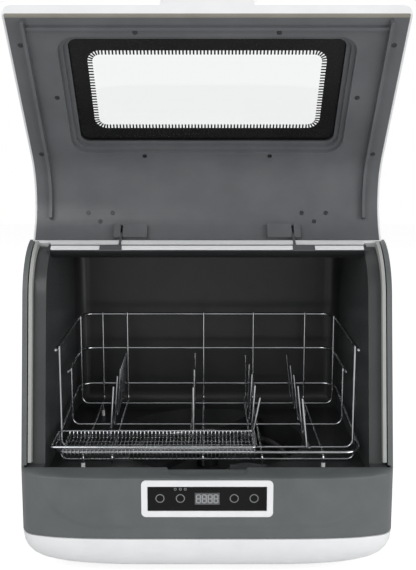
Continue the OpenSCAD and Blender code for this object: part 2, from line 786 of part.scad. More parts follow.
// Sump, pumps, heater and spray hub under and in the well
sump_x = 30;
sump_y = hub_y - 28;
sump_z = 46;
module sump() {
    color(dark_grey) difference() {
        translate([sump_x, sump_y, sump_z])
            cylinder(r = sump_r, h = well_z - tub_t - sump_z - 0.02, $fn = fn_big);
        translate([sump_x, sump_y, sump_z + tub_t]) cylinder(r = sump_r - tub_t, h = 60, $fn = fn_big);
        translate([sump_x, sump_y, sump_z + 14]) rotate([0, -90, 0]) cylinder(r = 8, h = 100, $fn = fn_mid);
        translate([sump_x, sump_y, sump_z + 14]) rotate([0, 90, 0]) cylinder(r = 7, h = 100, $fn = fn_mid);
    }
}
pump_z = 42;
pump_x = sump_x - sump_r - 48;
pump_len = 34;
volute_r = 28;
volute_t = 3;
motor_len = 62;
motor_r = 25;
shaft_r = 3;
module wash_pump() {
    color(motor_blue) difference() {
        union() {
            translate([pump_x, sump_y, pump_z]) rotate([0, 90, 0])
                cylinder(r = volute_r, h = pump_len, $fn = fn_big);
            translate([pump_x - motor_len, sump_y, pump_z]) rotate([0, 90, 0])
                cylinder(r = motor_r, h = motor_len + 1, $fn = fn_big);
            translate([pump_x + pump_len - 1, sump_y, sump_z + 14]) rotate([0, 90, 0])
                cylinder(r = 9, h = sump_x - sump_r - pump_x - pump_len + 1 - gap, $fn = fn_mid);
            translate([pump_x + 17, sump_y, pump_z + volute_r - 4])
                cylinder(r = 8, h = well_z - tub_t - pump_z - volute_r + 4 - gap, $fn = fn_mid);
            translate([pump_x - 45, sump_y - 12, foot_h + wall + 0.02])
                cube([12, 24, pump_z - motor_r - foot_h - wall + 4]);
        }
        translate([pump_x + volute_t, sump_y, pump_z]) rotate([0, 90, 0])
            cylinder(r = volute_r - volute_t, h = pump_len - 2 * volute_t, $fn = fn_big);
        translate([pump_x - 21, sump_y, pump_z]) rotate([0, 90, 0])
            cylinder(r = shaft_r + pin_gap, h = 30, $fn = fn_mid);
        translate([pump_x + pump_len - 5, sump_y, sump_z + 14]) rotate([0, 90, 0])
            cylinder(r = 7.4, h = 40, $fn = fn_mid);
        translate([pump_x + 17, sump_y, pump_z + volute_r - 8]) cylinder(r = 6, h = 60, $fn = fn_mid);
    }
}
module pump_rotor() {
    color(natural) translate([pump_x + 9, sump_y, pump_z]) rotate([0, 90, 0]) {
        union() {
            cylinder(r = rotor_r, h = 3, $fn = fn_mid);
            translate([0, 0, -29]) cylinder(r = shaft_r, h = 30, $fn = fn_mid);
            for (a = [0 : 60 : 359])
                rotate([0, 0, a]) translate([5, -1, 2.9]) cube([rotor_r - 7, 2, 9]);
        }
    }
}
drain_pump_x = sump_x + sump_r + gap;
module drain_pump() {
    color(motor_blue) {
        union() {
            translate([drain_pump_x, sump_y, sump_z + 14]) rotate([0, 90, 0])
                cylinder(r = 9, h = 9, $fn = fn_mid);
            translate([drain_pump_x + 8, sump_y, pump_z]) rotate([0, 90, 0])
                cylinder(r = 24, h = 20, $fn = fn_mid);
            translate([drain_pump_x + 27, sump_y, pump_z]) rotate([0, 90, 0])
                cylinder(r = 17, h = 32, $fn = fn_mid);
            translate([drain_x, sump_y + 15, pump_z]) rotate([-90, 0, 0])
                cylinder(r = 8, h = 18, $fn = fn_mid);
            translate([drain_pump_x + 28, sump_y - 9, foot_h + wall + 0.02])
                cube([10, 18, pump_z - 17 - foot_h - wall + 4]);
        }
    }
}
heater_r = 104;
heater_tube_r = 4;
heater_z = well_z + 10;
heater_ends = [-15, -71];
module heater() {
    color(steel) union() {
        translate([0, hub_y, heater_z]) rotate([0, 0, heater_ends[0]])
            rotate_extrude(angle = 360 + heater_ends[1] - heater_ends[0], $fn = fn_big)
                translate([heater_r, 0]) circle(heater_tube_r, $fn = fn_wire);
        for (a = heater_ends)
            translate([heater_r * cos(a), hub_y + heater_r * sin(a), well_z - tub_t - 12])
                cylinder(r = heater_tube_r - 0.5, h = heater_z - well_z + tub_t + 12, $fn = fn_wire);
    }
}
arm_z = shelf_z - 10.8;
arm_t = 8;
hub_pin_r = 6;
module spray_hub() {
    color(dark_grey) translate([0, hub_y, 0]) union() {
        translate([0, 0, well_z + 0.02]) cylinder(r = 14, h = arm_z - gap - well_z - 0.02, $fn = fn_mid);
        translate([0, 0, well_z - tub_t - 8]) cylinder(r = 8.7, h = 20, $fn = fn_mid);
        translate([0, 0, arm_z - 2]) cylinder(r = hub_pin_r, h = arm_t + 2 + 1.5, $fn = fn_mid);
    }
}
module spray_cap() {
    color(dark_grey) translate([0, hub_y, arm_z + arm_t + gap]) difference() {
        union() {
            cylinder(r = 13, h = 3.5, $fn = fn_mid);
            translate([0, 0, 3]) cylinder(r = 9, h = 3, $fn = fn_mid);
        }
        translate([0, 0, -1]) cylinder(r = hub_pin_r + 0.05, h = 2.4, $fn = fn_mid);
    }
}
module spray_arm() {
    color(dark_grey) translate([0, hub_y, arm_z]) rotate([0, 0, arm_turn]) difference() {
        union() {
            linear_extrude(arm_t) {
                square([2 * arm_r - 24, 24], center = true);
                for (x = [-1, 1])
                    translate([x * (arm_r - 12), 0]) circle(12, $fn = fn_mid);
                circle(21, $fn = fn_mid);
            }
            for (i = [-4 : 4])
                if (i != 0)
                    translate([i * 25, i % 2 == 0 ? 4 : -4, arm_t - 0.1])
                        cylinder(r = 3, h = 1.6, $fn = fn_wire);
        }
        translate([0, 0, -1]) cylinder(r = hub_pin_r + pin_gap, h = 20, $fn = fn_mid);
        for (i = [-4 : 4])
            if (i != 0)
                translate([i * 25, i % 2 == 0 ? 4 : -4, arm_t - 3]) cylinder(r = 1.2, h = 6, $fn = fn_wire);
    }
}

// Filter plate and the cup that turns in it
module filter_plate() {
    color(steel) translate([filter_x, filter_y, well_z + gap]) difference() {
        cylinder(r = filter_hole + 4, h = 1.5, $fn = fn_mid);
        translate([0, 0, -1]) cylinder(r = filter_r + gap, h = 5, $fn = fn_mid);
    }
}
module filter_cup() {
    color(grey_abs) translate([filter_x, filter_y, 0]) difference() {
        union() {
            translate([0, 0, well_z - 24]) cylinder(r = filter_r, h = 34, $fn = fn_mid);
            translate([0, 0, well_z + gap + 1.5 + gap]) cylinder(r = filter_r + 3, h = 2, $fn = fn_mid);
            translate([-filter_r + 3, -2, well_z + 9]) cube([2 * filter_r - 6, 4, 8]);
        }
        difference() {
            translate([0, 0, well_z - 22]) cylinder(r = filter_r - 2, h = 40, $fn = fn_mid);
            translate([-filter_r, -2, well_z + 4]) cube([2 * filter_r, 4, 13]);
        }
    }
}

// Water and drain fittings, the air break and the two hoses
module inlet_valve() {
    color(natural) difference() {
        union() {
            translate([inlet_x, rear_y - 0.5, inlet_z]) rotate([90, 0, 0])
                cylinder(r = inlet_r, h = 16, $fn = fn_mid);
            translate([inlet_x - 17, rear_y - 46, inlet_z - 14]) cube([34, 30, 28]);
            translate([inlet_x, rear_y - 32, inlet_z + 13]) cylinder(r = 8, h = 8, $fn = fn_mid);
            translate([inlet_x - 22, rear_y - 17.5, inlet_z - 22]) cube([44, 14.3, 6]);
            translate([inlet_x - 17, rear_y - 18, inlet_z - 22]) cube([34, 2, 20]);
        }
        translate([inlet_x, rear_y + 1, inlet_z]) rotate([90, 0, 0]) cylinder(r = 8.5, h = 14, $fn = fn_mid);
    }
}
drain_len = 22;
drain_well_t = 2;
module drain_spigot() {
    color(natural) translate([drain_x, rear_y - 0.5, drain_z]) rotate([90, 0, 0]) difference() {
        union() {
            translate([0, 0, wall + gap - 0.5]) cylinder(r = drain_r + port_room + 5, h = 3, $fn = fn_mid);
            cylinder(r = drain_r + port_room + drain_well_t, h = drain_len + drain_well_t - 0.5, $fn = fn_mid);
        }
        // Well that the hose and its clip go into
        difference() {
            translate([0, 0, -1]) cylinder(r = drain_r + port_room - 0.5, h = drain_len + 0.5, $fn = fn_mid);
            cylinder(r = drain_r, h = drain_len, $fn = fn_mid);
        }
        translate([0, 0, -1]) difference() {
            cylinder(r = 2 * drain_r + 10, h = wall + gap + 0.5, $fn = fn_mid);
            translate([0, 0, -1]) cylinder(r = drain_r + 1, h = wall + gap + 3, $fn = fn_mid);
        }
        translate([0, 0, -2]) cylinder(r = drain_r - 2.5, h = 40, $fn = fn_mid);
    }
}
break_y = [-60, 60];
break_z = [160, 300];
break_t = 18;
break_pipe_z = 228;
break_pipe_x = -tub_half - tub_t - 12;
module air_break() {
    color(natural) {
        union() {
            translate([-tub_half - tub_t - gap - break_t, break_y[0], break_z[0]])
                cube([break_t, break_y[1] - break_y[0], break_z[1] - break_z[0]]);
            translate([break_pipe_x, break_y[1] - 1, break_pipe_z]) rotate([-90, 0, 0])
                cylinder(r = 7, h = 9, $fn = fn_mid);
        }
    }
}
hose_d = 14;
hose_bore = 9;
module fill_hose() {
    color(black) bent_rod([[inlet_x, rear_y - 32, inlet_z + 21 + gap], [inlet_x, rear_y - 32, break_pipe_z],
        [break_pipe_x, rear_y - 32, break_pipe_z], [break_pipe_x, break_y[1] + 8 + gap, break_pipe_z]],
        hose_d, 20, hose_bore);
}
module drain_hose() {
    color(black) bent_rod([[drain_x, sump_y + 33 + gap, pump_z], [drain_x, rear_y - 55, pump_z],
        [drain_x, rear_y - 55, drain_z], [drain_x, rear_y - 22.5 - gap, drain_z]], hose_d, 18, hose_bore);
}

// Electrics
module power_board() {
    color(copper_green) {
        translate([-90, rear_y - 22, 130]) cube([120, 1.6, 80]);
        for (x = [-82, 22], z = [138, 202])
            translate([x, rear_y - wall - gap, z]) rotate([90, 0, 0])
                cylinder(r = 3.5, h = 22 - 1.6 - wall - gap - 0.02, $fn = fn_mid);
        translate([-80, rear_y - 47, 150]) cube([34, 24.9, 30]);
        for (i = [0 : 2])
            translate([-30 + i * 20, rear_y - 22, 165]) rotate([90, 0, 0])
                cylinder(r = 6, h = 18, $fn = fn_mid);
    }
}
module cord_gland() {
    color(black) translate([gland_x, rear_y - 0.4, gland_z]) rotate([90, 0, 0]) difference() {
        union() {
            cylinder(r = gland_r, h = 18, $fn = fn_mid);
            translate([0, 0, wall + gap]) cylinder(r = gland_r + 4, h = 4, $fn = 6);
        }
        translate([0, 0, -1]) cylinder(r = 4, h = 30, $fn = fn_mid);
    }
}
fan_y = rear_y - wall - gap - 25;
module fan_housing() {
    color(dark_grey) translate([fan_x, fan_y + 25, fan_z]) rotate([90, 0, 0]) difference() {
        translate([0, 0, 12.5]) cube([fan_side, fan_side, 25], center = true);
        translate([0, 0, 3]) cylinder(r = fan_side / 2 - 3, h = 30, $fn = fn_big);
        difference() {
            translate([0, 0, -1]) cylinder(r = fan_side / 2 - 3, h = 10, $fn = fn_big);
            translate([0, 0, -2]) cylinder(r = 16, h = 12, $fn = fn_mid);
            for (a = [45 : 90 : 359])
                rotate([0, 0, a]) translate([0, -2, -2]) cube([fan_side, 4, 12]);
        }
        translate([0, 0, -1]) cylinder(r = 2 + pin_gap, h = 10, $fn = fn_mid);
    }
}
module fan_rotor() {
    color(black) translate([fan_x, fan_y + 25, fan_z]) rotate([90, 0, 0]) union() {
        translate([0, 0, 3 + gap]) cylinder(r = 16, h = 18, $fn = fn_mid);
        translate([0, 0, 0.5]) cylinder(r = 2, h = 5, $fn = fn_mid);
        for (a = [0 : 360 / 7 : 359])
            rotate([0, 0, a]) translate([14, 0, 12]) rotate([35, 0, 0])
                translate([0, -9, -0.8]) cube([fan_side / 2 - 5 - 14, 18, 1.6]);
    }
}
// The duct leads the air up behind the tub to slots in the tub's upper rear corner
duct_top = roof_z - 1;
duct_t = 2;
duct_front = tub_rear - 14;
module air_duct() {
    color(dark_grey) difference() {
        translate([fan_x - fan_side / 2, duct_front, fan_z - fan_side / 2])
            cube([fan_side, fan_y - gap - duct_front, duct_top - fan_z + fan_side / 2]);
        translate([fan_x - fan_side / 2 + duct_t, duct_front - 1, fan_z - fan_side / 2 + duct_t])
            cube([fan_side - 2 * duct_t, fan_y - gap - duct_t - duct_front + 1,
                duct_top - fan_z + fan_side / 2 - 2 * duct_t]);
        translate([fan_x - fan_side / 2 + duct_t, duct_front, fan_z - fan_side / 2 + duct_t])
            cube([fan_side - 2 * duct_t, 100, fan_side - 2 * duct_t]);
        across(0, body_w) polygon(tub_section(tub_t + gap));
    }
}
float_y = 120;
float_travel = 6;
module float_switch() {
    color(black) difference() {
        union() {
            translate([-12, float_y - 12, 31]) cube([34, 24, 14]);
            translate([19, float_y - 12, foot_h + wall + 0.02]) cube([3, 24, 30]);
            translate([19, float_y - 12, foot_h + wall + 0.02]) cube([14, 24, 3]);
        }
        translate([0, float_y, 30]) cylinder(r = 2 + pin_gap, h = 12, $fn = fn_mid);
    }
}
module float_cup() {
    color(white_abs) translate([0, float_y, foot_h + wall + gap]) union() {
        cylinder(r = 14, h = 9, $fn = fn_mid);
        cylinder(r = 2, h = 26, $fn = fn_mid);
    }
}
switch_x = 162;
module lid_switch() {
    color(black) translate([switch_x - 12, mouth_y - 15, mouth_z - wall - gap - 16]) cube([24, 9, 16]);
}

// Feet and screws
module rubber_feet() {
    color(black) for (x = [-foot_x, foot_x], y = foot_y)
        translate([x, y, 0]) cylinder(r = foot_r, h = foot_h - 0.02, $fn = fn_mid);
}
module body_screws() {
    color(steel) {
        for (x = rear_screw_x, z = rear_screw_z)
            translate([x, rear_y, z]) rotate([90, 0, 0]) union() {
                translate([0, 0, -screw_proud]) cylinder(r = screw_head_r, h = screw_proud - 0.02, $fn = fn_mid);
                translate([0, 0, -0.5]) cylinder(r = screw_r, h = 10, $fn = fn_mid);
            }
        for (x = base_screw_x, y = base_screw_y)
            translate([x, y, foot_h - 1.5]) cylinder(r = screw_head_r, h = 1.48, $fn = fn_mid);
    }
}

// The lid, drawn closed and turned open
function shell_section(s, x, low, t) = let (d = lid_t(s) - t, r = max(1, lid_round - t))
    concat([[x, low], [x, d - r]],
        [for (i = [1 : 5]) [x - r + r * cos(18 * i), d - r + r * sin(18 * i)]],
        [for (i = [5 : -1 : 1]) [-x + r - r * cos(18 * i), d - r + r * sin(18 * i)]],
        [[-x, d - r], [-x, low]]);
function ring_at(s, x, low, t) =
    [for (p = shell_section(s, x, low, t)) let (q = line_at(s, p[1])) [p[0], q[0], q[1]]];
edge_s = 1;
skirt_low = 2;
function lid_rings(s0, s1, x, low, t) = [for (s = line_stops(s0, s1, t / 5)) ring_at(s, x, low, t)];
module lid_shell() {
    color(white_abs) opened() difference() {
        loft(lid_rings(edge_s, lid_end, body_w / 2, skirt_low, 0));
        loft(lid_rings(edge_s + shell_t, lid_end - shell_t, body_w / 2 - shell_t, skirt_low - 1, shell_t));
        across(-liner_x - 2 * gap, liner_x + 2 * gap)
            polygon([line_at(edge_s - 1, skirt_low - 1), line_at(edge_s + shell_t + 1, skirt_low - 1),
                line_at(edge_s + shell_t + 1, edge_seal_h), line_at(edge_s - 1, edge_seal_h)]);
        on_lid(window_s) translate([0, 0, -10]) linear_extrude(20)
            round_rect(glass_w + 2 * gap, glass_l + 2 * gap, recess_r);
    }
}
liner_x = body_w / 2 - shell_t - gap;
sight_r = 10;
box_x0 = 74;
box_x1 = 115;
box_front = 15;
box_rear = 4.7;
box_h = 6;
module hinge_box_blank(grow) {
    translate([box_x0 - grow, axis_y - box_front - grow, axis_z - box_h])
        cube([box_x1 - box_x0 + 2 * grow, box_front + box_rear + 2 * grow, 2 * box_h]);
}
module lid_liner() {
    color(liner_grey) opened() difference() {
        union() {
            difference() {
                across(-liner_x, liner_x)
                    polygon(band(edge_s + shell_t + gap, lid_end - shell_t - gap, 0, liner_t));
                on_line(window_s) translate([0, 0, -10]) linear_extrude(20)
                    round_rect(recess_w, recess_l, recess_r);
            }
            both_sides() across(rib_x - rib_t / 2, rib_x + rib_t / 2)
                polygon(band(side_rib_s, rib_end, -rib_h, 0.5));
            across(-rib_x, rib_x) polygon(band(edge_rib_s, edge_rib_s + rib_t, -edge_rib_h, 0.5));
            // Stepped walls of the window recess
            difference() {
                on_lid(window_s) {
                    round_frame(recess_w + 4, recess_l + 4, recess_r + 2, 2, -24, -11);
                    round_frame(recess_w + 4, recess_l + 4, recess_r + 2, 7, -13, -11);
                    round_frame(recess_w - 6, recess_l - 6, recess_r - 3, 2, -12, -glass_t - 2.2);
                    translate([0, 0, -glass_t - 4.2]) linear_extrude(2) difference() {
                        round_rect(recess_w - 6.4, recess_l - 6.4, recess_r - 3.2);
                        round_rect(sight_w, sight_l, sight_r);
                    }
                }
                on_line(window_s) translate([-body_w / 2, -150, -50]) cube([body_w, 300, 50]);
            }
        }
        both_sides() hinge_box_blank(0.1);
        both_sides() liner_screw_set(gap, -2, liner_t + 4);
    }
}
module lid_glass() {
    color([0.1, 0.1, 0.1, 0.6]) opened() on_lid(window_s) translate([0, 0, -glass_t])
        linear_extrude(glass_t) round_rect(glass_w, glass_l, recess_r);
}
module glass_gasket() {
    color(black) opened() on_lid(window_s)
        round_frame(sight_w + 8, sight_l + 8, recess_r - 4, 3.5, -glass_t - 2.18, -glass_t - 0.02);
}
module lid_handle() {
    color(white_abs) opened() on_lid(0) translate([-handle_half, 0, 0]) rotate([90, 0, 90])
        linear_extrude(2 * handle_half) polygon([[edge_s, 0.02], [edge_s, handle_h - 4],
            [edge_s + 1.2, handle_h - 1.2], [edge_s + 4, handle_h], [edge_s + 9, handle_h],
            [edge_s + 16, handle_h - 4], [edge_s + 26, 0.02]]);
}
module lid_edge_seal() {
    color("#8C8A80") opened() across(-liner_x, liner_x)
        polygon(band(edge_s - 0.2, edge_s + shell_t, 0, edge_seal_h - 0.02));
}
module hinge_boxes() {
    color(liner_grey) opened() both_sides() difference() {
        hinge_box_blank(0);
        translate([0, axis_y, axis_z]) rotate([0, 90, 0]) cylinder(r = pin_r + 0.02, h = 200, $fn = fn_mid);
        translate([tab_x - tab_t / 2 - 0.5, axis_y - 40, axis_z - 20]) cube([tab_t + 1, 80, 40]);
    }
}
module hinge_pins() {
    color(steel) opened() both_sides() translate([box_x0 + 12, axis_y, axis_z]) rotate([0, 90, 0])
        cylinder(r = pin_r, h = box_x1 - box_x0 - 14, $fn = fn_mid);
}
liner_screw_spots = [[76.6, 21.8], [170.7, 109], [76, 198.2], [body_w / 2 - 14, 38], [body_w / 2 - 14, 195]];
hinge_screw_spots = [[117.8, 39], [148, 39], [133, 28]];
module screw_at(x, s, r, low, high) {
    p = line_at(s, low);
    q = line_at(s, high);
    rod([x, p[0], p[1]], [x, q[0], q[1]], 2 * r);
}
module liner_screw_set(grow, low, high) {
    for (p = liner_screw_spots)
        screw_at(p[0], p[1], 2.6 + grow, low, high);
    for (p = hinge_screw_spots)
        screw_at(p[0], lid_end - p[1], 2.4 + grow, low, high);
}
module liner_screws() {
    color(steel) opened() both_sides() liner_screw_set(0, 0, liner_t + 3);
}
module lid_magnet() {
    color(steel) opened() translate([switch_x, 0, 0]) on_line(11) translate([0, 0, liner_t + 0.02])
        cylinder(r = 5, h = 3, $fn = fn_mid);
}

// The rack, made of wires that cross in layers
leg_x = rack_half - rail_dia / 2 - wire_dia / 2 - wire_gap;
base_half = rack_half + base_spread;
low_z = mouth_z + rail_low;
floor_z = mouth_z + rack_floor;
long_z = floor_z - rail_dia / 2 - wire_dia / 2 - wire_gap;
tine_base_z = floor_z + wire_dia + wire_gap;
front_rail_y = mouth_y + rack_front;
rear_rail_y = mouth_y + rack_rear;
base_len = norm([rear_rail_y - front_rail_y, low_z - floor_z]);
base_tilt = atan2(low_z - floor_z, rear_rail_y - front_rail_y);
stub_y = front_rail_y + rail_dia / 2 + wire_dia / 2 + wire_gap;
upright_y = rear_rail_y - rail_dia / 2 - wire_dia / 2 - wire_gap;
cross_front = mouth_y + 40.4;
cross_mid = mouth_y + 125.7;
cross_rear = mouth_y + 216.8;
low_cross = mouth_y + 55;
rail_r = 20;
wire_r = 9;
module open_rail(z, y0, r) {
    bent_rod([[-rack_half, y0, z], [-rack_half, rear_rail_y, z], [rack_half, rear_rail_y, z],
        [rack_half, y0, z]], rail_dia, r);
}
module rack_rails() {
    color(steel) {
        open_rail(mouth_z + rail_top, cross_front - 6, rail_r);
        open_rail(mouth_z + rail_mid, cross_mid - 6, rail_r);
        translate([0, front_rail_y, floor_z]) rotate([base_tilt, 0, 0])
            bent_rod([[0, base_len, 0], [-base_half, base_len, 0], [-base_half, 0, 0], [base_half, 0, 0],
                [base_half, base_len, 0], [0, base_len, 0]], rail_dia, rail_r);
    }
}
module cross_wire(y, top, z, x = leg_x) {
    bent_rod([[-x, y, top], [-x, y, z], [x, y, z], [x, y, top]], wire_dia, wire_r);
}
low_wire_z = shelf_z + wire_dia / 2 + 0.8;
low_cross_half = base_half - rail_dia / 2 - wire_dia / 2 - 0.1;
module rack_cross_wires() {
    color(steel) {
        cross_wire(cross_front, mouth_z + rail_top + 4, floor_z);
        cross_wire(cross_mid, mouth_z + rail_mid + 4, floor_z);
        cross_wire(cross_rear, mouth_z + rail_top + 4, floor_z);
        cross_wire(low_cross, floor_z + 7, low_wire_z, low_cross_half);
    }
}
long_x = [-147, -112.5, -5, 65, 137.5];
foot_wires = [0, 4];
foot_tip = 8;
rear_foot_y = upright_y - 16;
function is_foot(i) = i == foot_wires[0] || i == foot_wires[1];
module rack_long_wires() {
    color(steel) for (i = [0 : len(long_x) - 1]) {
        x = long_x[i];
        bent_rod([[x, upright_y, mouth_z + rail_top + 3], [x, upright_y, long_z], [x, stub_y, long_z],
            [x, stub_y, is_foot(i) ? shelf_z + gap + foot_tip : long_z - 14]], wire_dia, 6);
        if (is_foot(i))
            rod([x, rear_foot_y, long_z - wire_dia / 2 - wire_gap], [x, rear_foot_y, shelf_z + gap + foot_tip],
                wire_dia);
    }
}
module rack_feet() {
    color(white_abs) for (i = foot_wires, y = [stub_y, rear_foot_y])
        translate([long_x[i], y, shelf_z + gap]) cylinder(r = 2.3, h = foot_tip - 0.02, $fn = fn_wire);
}

// Rows of tines, each tine beside its base wire; a row lists [distance from the mouth, lean]
tine_side = wire_dia + gap;
row_end = mouth_y + 243;
plate_row_x = [-122, -20];
bowl_row_x = [52, 121.5];
plate_rows = [[[240, 4.5], [223, 4.5], [206, 4.5], [190, 4.5], [173, 4.5], [157, 4.5], [119, 4.5], [71, 4.5]],
    [[240, 0], [151, 0], [68.5, 0]]];
bowl_rows = [[[240, -1.2], [188, 1.8], [138, 3.2], [85.5, 4.3]],
    [[240, -6.5], [184, -6.5], [135, -6.5], [82.5, -6.5], [30, -6.5]]];
front_tine = [68, 9.6];
front_tine_drop = 10.4;
module tine(x, place, top) {
    y = mouth_y + place[0];
    rod([x, y, tine_base_z - wire_dia / 2], [x + place[1], y, mouth_z + top], wire_dia);
}
module row_base(x, y0) {
    rod([x, y0, tine_base_z], [x, row_end, tine_base_z], wire_dia);
}
module plate_tines() {
    color(steel) for (i = [0, 1]) {
        row_base(plate_row_x[i], mouth_y + 66);
        for (place = plate_rows[i])
            tine(plate_row_x[i] + tine_side, place, plate_top);
    }
}
module bowl_tines() {
    color(steel) {
        row_base(bowl_row_x[0], mouth_y + 67);
        row_base(bowl_row_x[1], stub_y + 3);
        for (place = bowl_rows[0])
            tine(bowl_row_x[0] + tine_side, place, bowl_top);
        tine(bowl_row_x[0] + tine_side, front_tine, bowl_top - front_tine_drop);
        for (place = bowl_rows[1])
            tine(bowl_row_x[1] - tine_side, place, bowl_top);
    }
}

// Cutlery tray: a rim that loops round the rack's left front leg, and a net of crossed wires
tray_x0 = -rack_half - 4.4;
tray_x1 = tray_x0 + tray_w;
net_x0 = 4 - leg_x;
tray_y0 = mouth_y + 8;
tray_y1 = tray_y0 + tray_d;
net_wire = 1.2;
rim_wire = 3;
net_z = floor_z + rail_dia / 2 + gap + net_wire / 2;
rim_z = net_z + tray_h;
module tray_rim() {
    color(steel) bent_rod([[0, tray_y0, rim_z], [tray_x0, tray_y0, rim_z], [tray_x0, tray_y1, rim_z],
        [tray_x1, tray_y1, rim_z], [tray_x1, tray_y0, rim_z], [0, tray_y0, rim_z]], rim_wire, 5);
}
net_in = rim_wire / 2 + net_wire / 2 + wire_gap;
net_nx = floor((tray_x1 - net_x0 - 2 * net_in) / tray_pitch);
net_ny = floor((tray_d - 2 * net_in) / tray_pitch);
module tray_net() {
    color(steel) {
        for (i = [0 : net_nx]) {
            x = net_x0 + net_in + 2 * net_wire + i * (tray_x1 - net_x0 - 2 * net_in - 4 * net_wire) / net_nx;
            y0 = tray_y0 + net_in;
            y1 = tray_y1 - net_in;
            rod([x, y0, rim_z + 0.6], [x, y0, mouth_z + 5], net_wire);
            rod([x, y1, rim_z + 0.6], [x, y1, net_z - net_wire / 2], net_wire);
            rod([x, y0 + net_wire / 2 + wire_gap, net_z], [x, y1 - net_wire / 2 - wire_gap, net_z], net_wire);
        }
        for (j = [1 : net_ny - 1]) {
            y = tray_y0 + net_in + j * (tray_d - 2 * net_in) / net_ny;
            z = net_z + net_wire + wire_gap;
            rod([net_x0 + net_in, y, z], [tray_x1 - net_in, y, z], net_wire);
        }
        for (z = [net_z, net_z + tray_h / 2], y = [tray_y0 + net_in + net_wire + wire_gap + 0.02,
                tray_y1 - net_in - net_wire - wire_gap - 0.02])
            rod([net_x0 + net_in, y, z + (z == net_z ? 2 * net_wire + 0.2 : 0)],
                [tray_x1 - net_in, y, z + (z == net_z ? 2 * net_wire + 0.2 : 0)], net_wire);
        for (x = [net_x0 + net_in - net_wire / 2 - wire_gap, tray_x1 - net_in + net_wire / 2 + wire_gap],
                z = [net_z + 2 * net_wire, net_z + tray_h / 2])
            rod([x, tray_y0 + net_in, z], [x, tray_y1 - net_in, z], net_wire);
    }
}

base_pan();
front_panel();
left_side_panel();
right_side_panel();
rear_panel();
top_cover();
top_lip();
tub_floor();
tub_well();
tub_shell();
tub_sides();
door_seal();
hinge_brackets();
control_bezel();
touch_panel();
display_module();
control_board();
sump();
wash_pump();
pump_rotor();
drain_pump();
heater();
spray_hub();
inlet_valve();
drain_spigot();
air_break();
fill_hose();
drain_hose();
power_board();
cord_gland();
air_duct();
fan_housing();
fan_rotor();
float_switch();
float_cup();
lid_switch();
rubber_feet();
body_screws();
lid_shell();
lid_liner();
lid_glass();
glass_gasket();
lid_handle();
lid_edge_seal();
hinge_boxes();
hinge_pins();
liner_screws();
lid_magnet();
spray_arm();
spray_cap();
rack_rails();
rack_cross_wires();
rack_long_wires();
plate_tines();
bowl_tines();
rack_feet();
tray_rim();
tray_net();
filter_plate();
filter_cup();
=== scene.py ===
"""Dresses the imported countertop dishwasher: finishes, wire rack, tray, window print and touch panel."""

import logging
import math
from dataclasses import dataclass, field
from enum import Enum

import bmesh
import bpy
import numpy as np
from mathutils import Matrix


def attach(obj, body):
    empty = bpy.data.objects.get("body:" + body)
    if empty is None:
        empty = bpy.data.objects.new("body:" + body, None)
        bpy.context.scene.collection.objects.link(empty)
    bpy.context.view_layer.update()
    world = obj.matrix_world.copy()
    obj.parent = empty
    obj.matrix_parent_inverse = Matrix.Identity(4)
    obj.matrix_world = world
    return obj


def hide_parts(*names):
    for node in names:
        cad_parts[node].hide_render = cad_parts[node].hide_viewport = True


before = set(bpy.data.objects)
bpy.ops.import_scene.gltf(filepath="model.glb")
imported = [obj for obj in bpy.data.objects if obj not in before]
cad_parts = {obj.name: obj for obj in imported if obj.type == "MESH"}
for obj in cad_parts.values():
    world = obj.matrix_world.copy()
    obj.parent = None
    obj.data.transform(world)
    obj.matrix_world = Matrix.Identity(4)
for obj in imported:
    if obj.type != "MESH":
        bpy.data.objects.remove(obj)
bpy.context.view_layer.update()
LOG = logging.getLogger("dishwasher")

MM = 0.001
PHOTO_WIDTH, PHOTO_HEIGHT = 416, 570

# The sizes of the solids, in millimetres, as the part's source has them
MOUTH_Y = -170.8
MOUTH_Z = 132.0
TUB_LEDGE_Z = MOUTH_Z - 13.2
RACK_FLOOR_Z = MOUTH_Z + 9.5
SLOPE_LEN = 198.0
SLOPE_LEAN = math.radians(11.0)
BEND_R = 75.0
HINGE_RUN = 3.6
LID_OPEN = math.radians(127.6)
LID_EDGE_T = 19.0
LID_BEND_T = 17.0
ARC_ANGLE = math.pi / 2 - SLOPE_LEAN
ARC_LEN = BEND_R * ARC_ANGLE
BEND_Y = MOUTH_Y + SLOPE_LEN * math.sin(SLOPE_LEAN) + BEND_R * math.cos(SLOPE_LEAN)
BEND_Z = MOUTH_Z + SLOPE_LEN * math.cos(SLOPE_LEAN) - BEND_R * math.sin(SLOPE_LEAN)
AXIS_Y = BEND_Y + HINGE_RUN
AXIS_Z = BEND_Z + BEND_R


class Body(Enum):
    """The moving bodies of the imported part."""

    HOUSING = "body"
    LID = "lid"
    RACK = "rack"
    TRAY = "tray"


class Slot(Enum):
    """Material slot names; main lists one beside each smoothed copy, but nothing reads them."""

    WHITE = "white_abs"
    GREY = "grey_abs"
    LINER = "liner_grey"
    DARK = "dark_pp"
    STEEL = "steel"
    TOUCH = "touch_glass"


def linear_rgb(code: str) -> tuple[float, float, float, float]:
    """Turns an sRGB hex code into linear colour.

    Args:
        code: six hex digits with a leading hash.

    Returns:
        Red, green, blue and alpha.
    """
    parts = [int(code[i : i + 2], 16) / 255 for i in (1, 3, 5)]
    lin = [c / 12.92 if c <= 0.04045 else ((c + 0.055) / 1.055) ** 2.4 for c in parts]
    return (lin[0], lin[1], lin[2], 1.0)


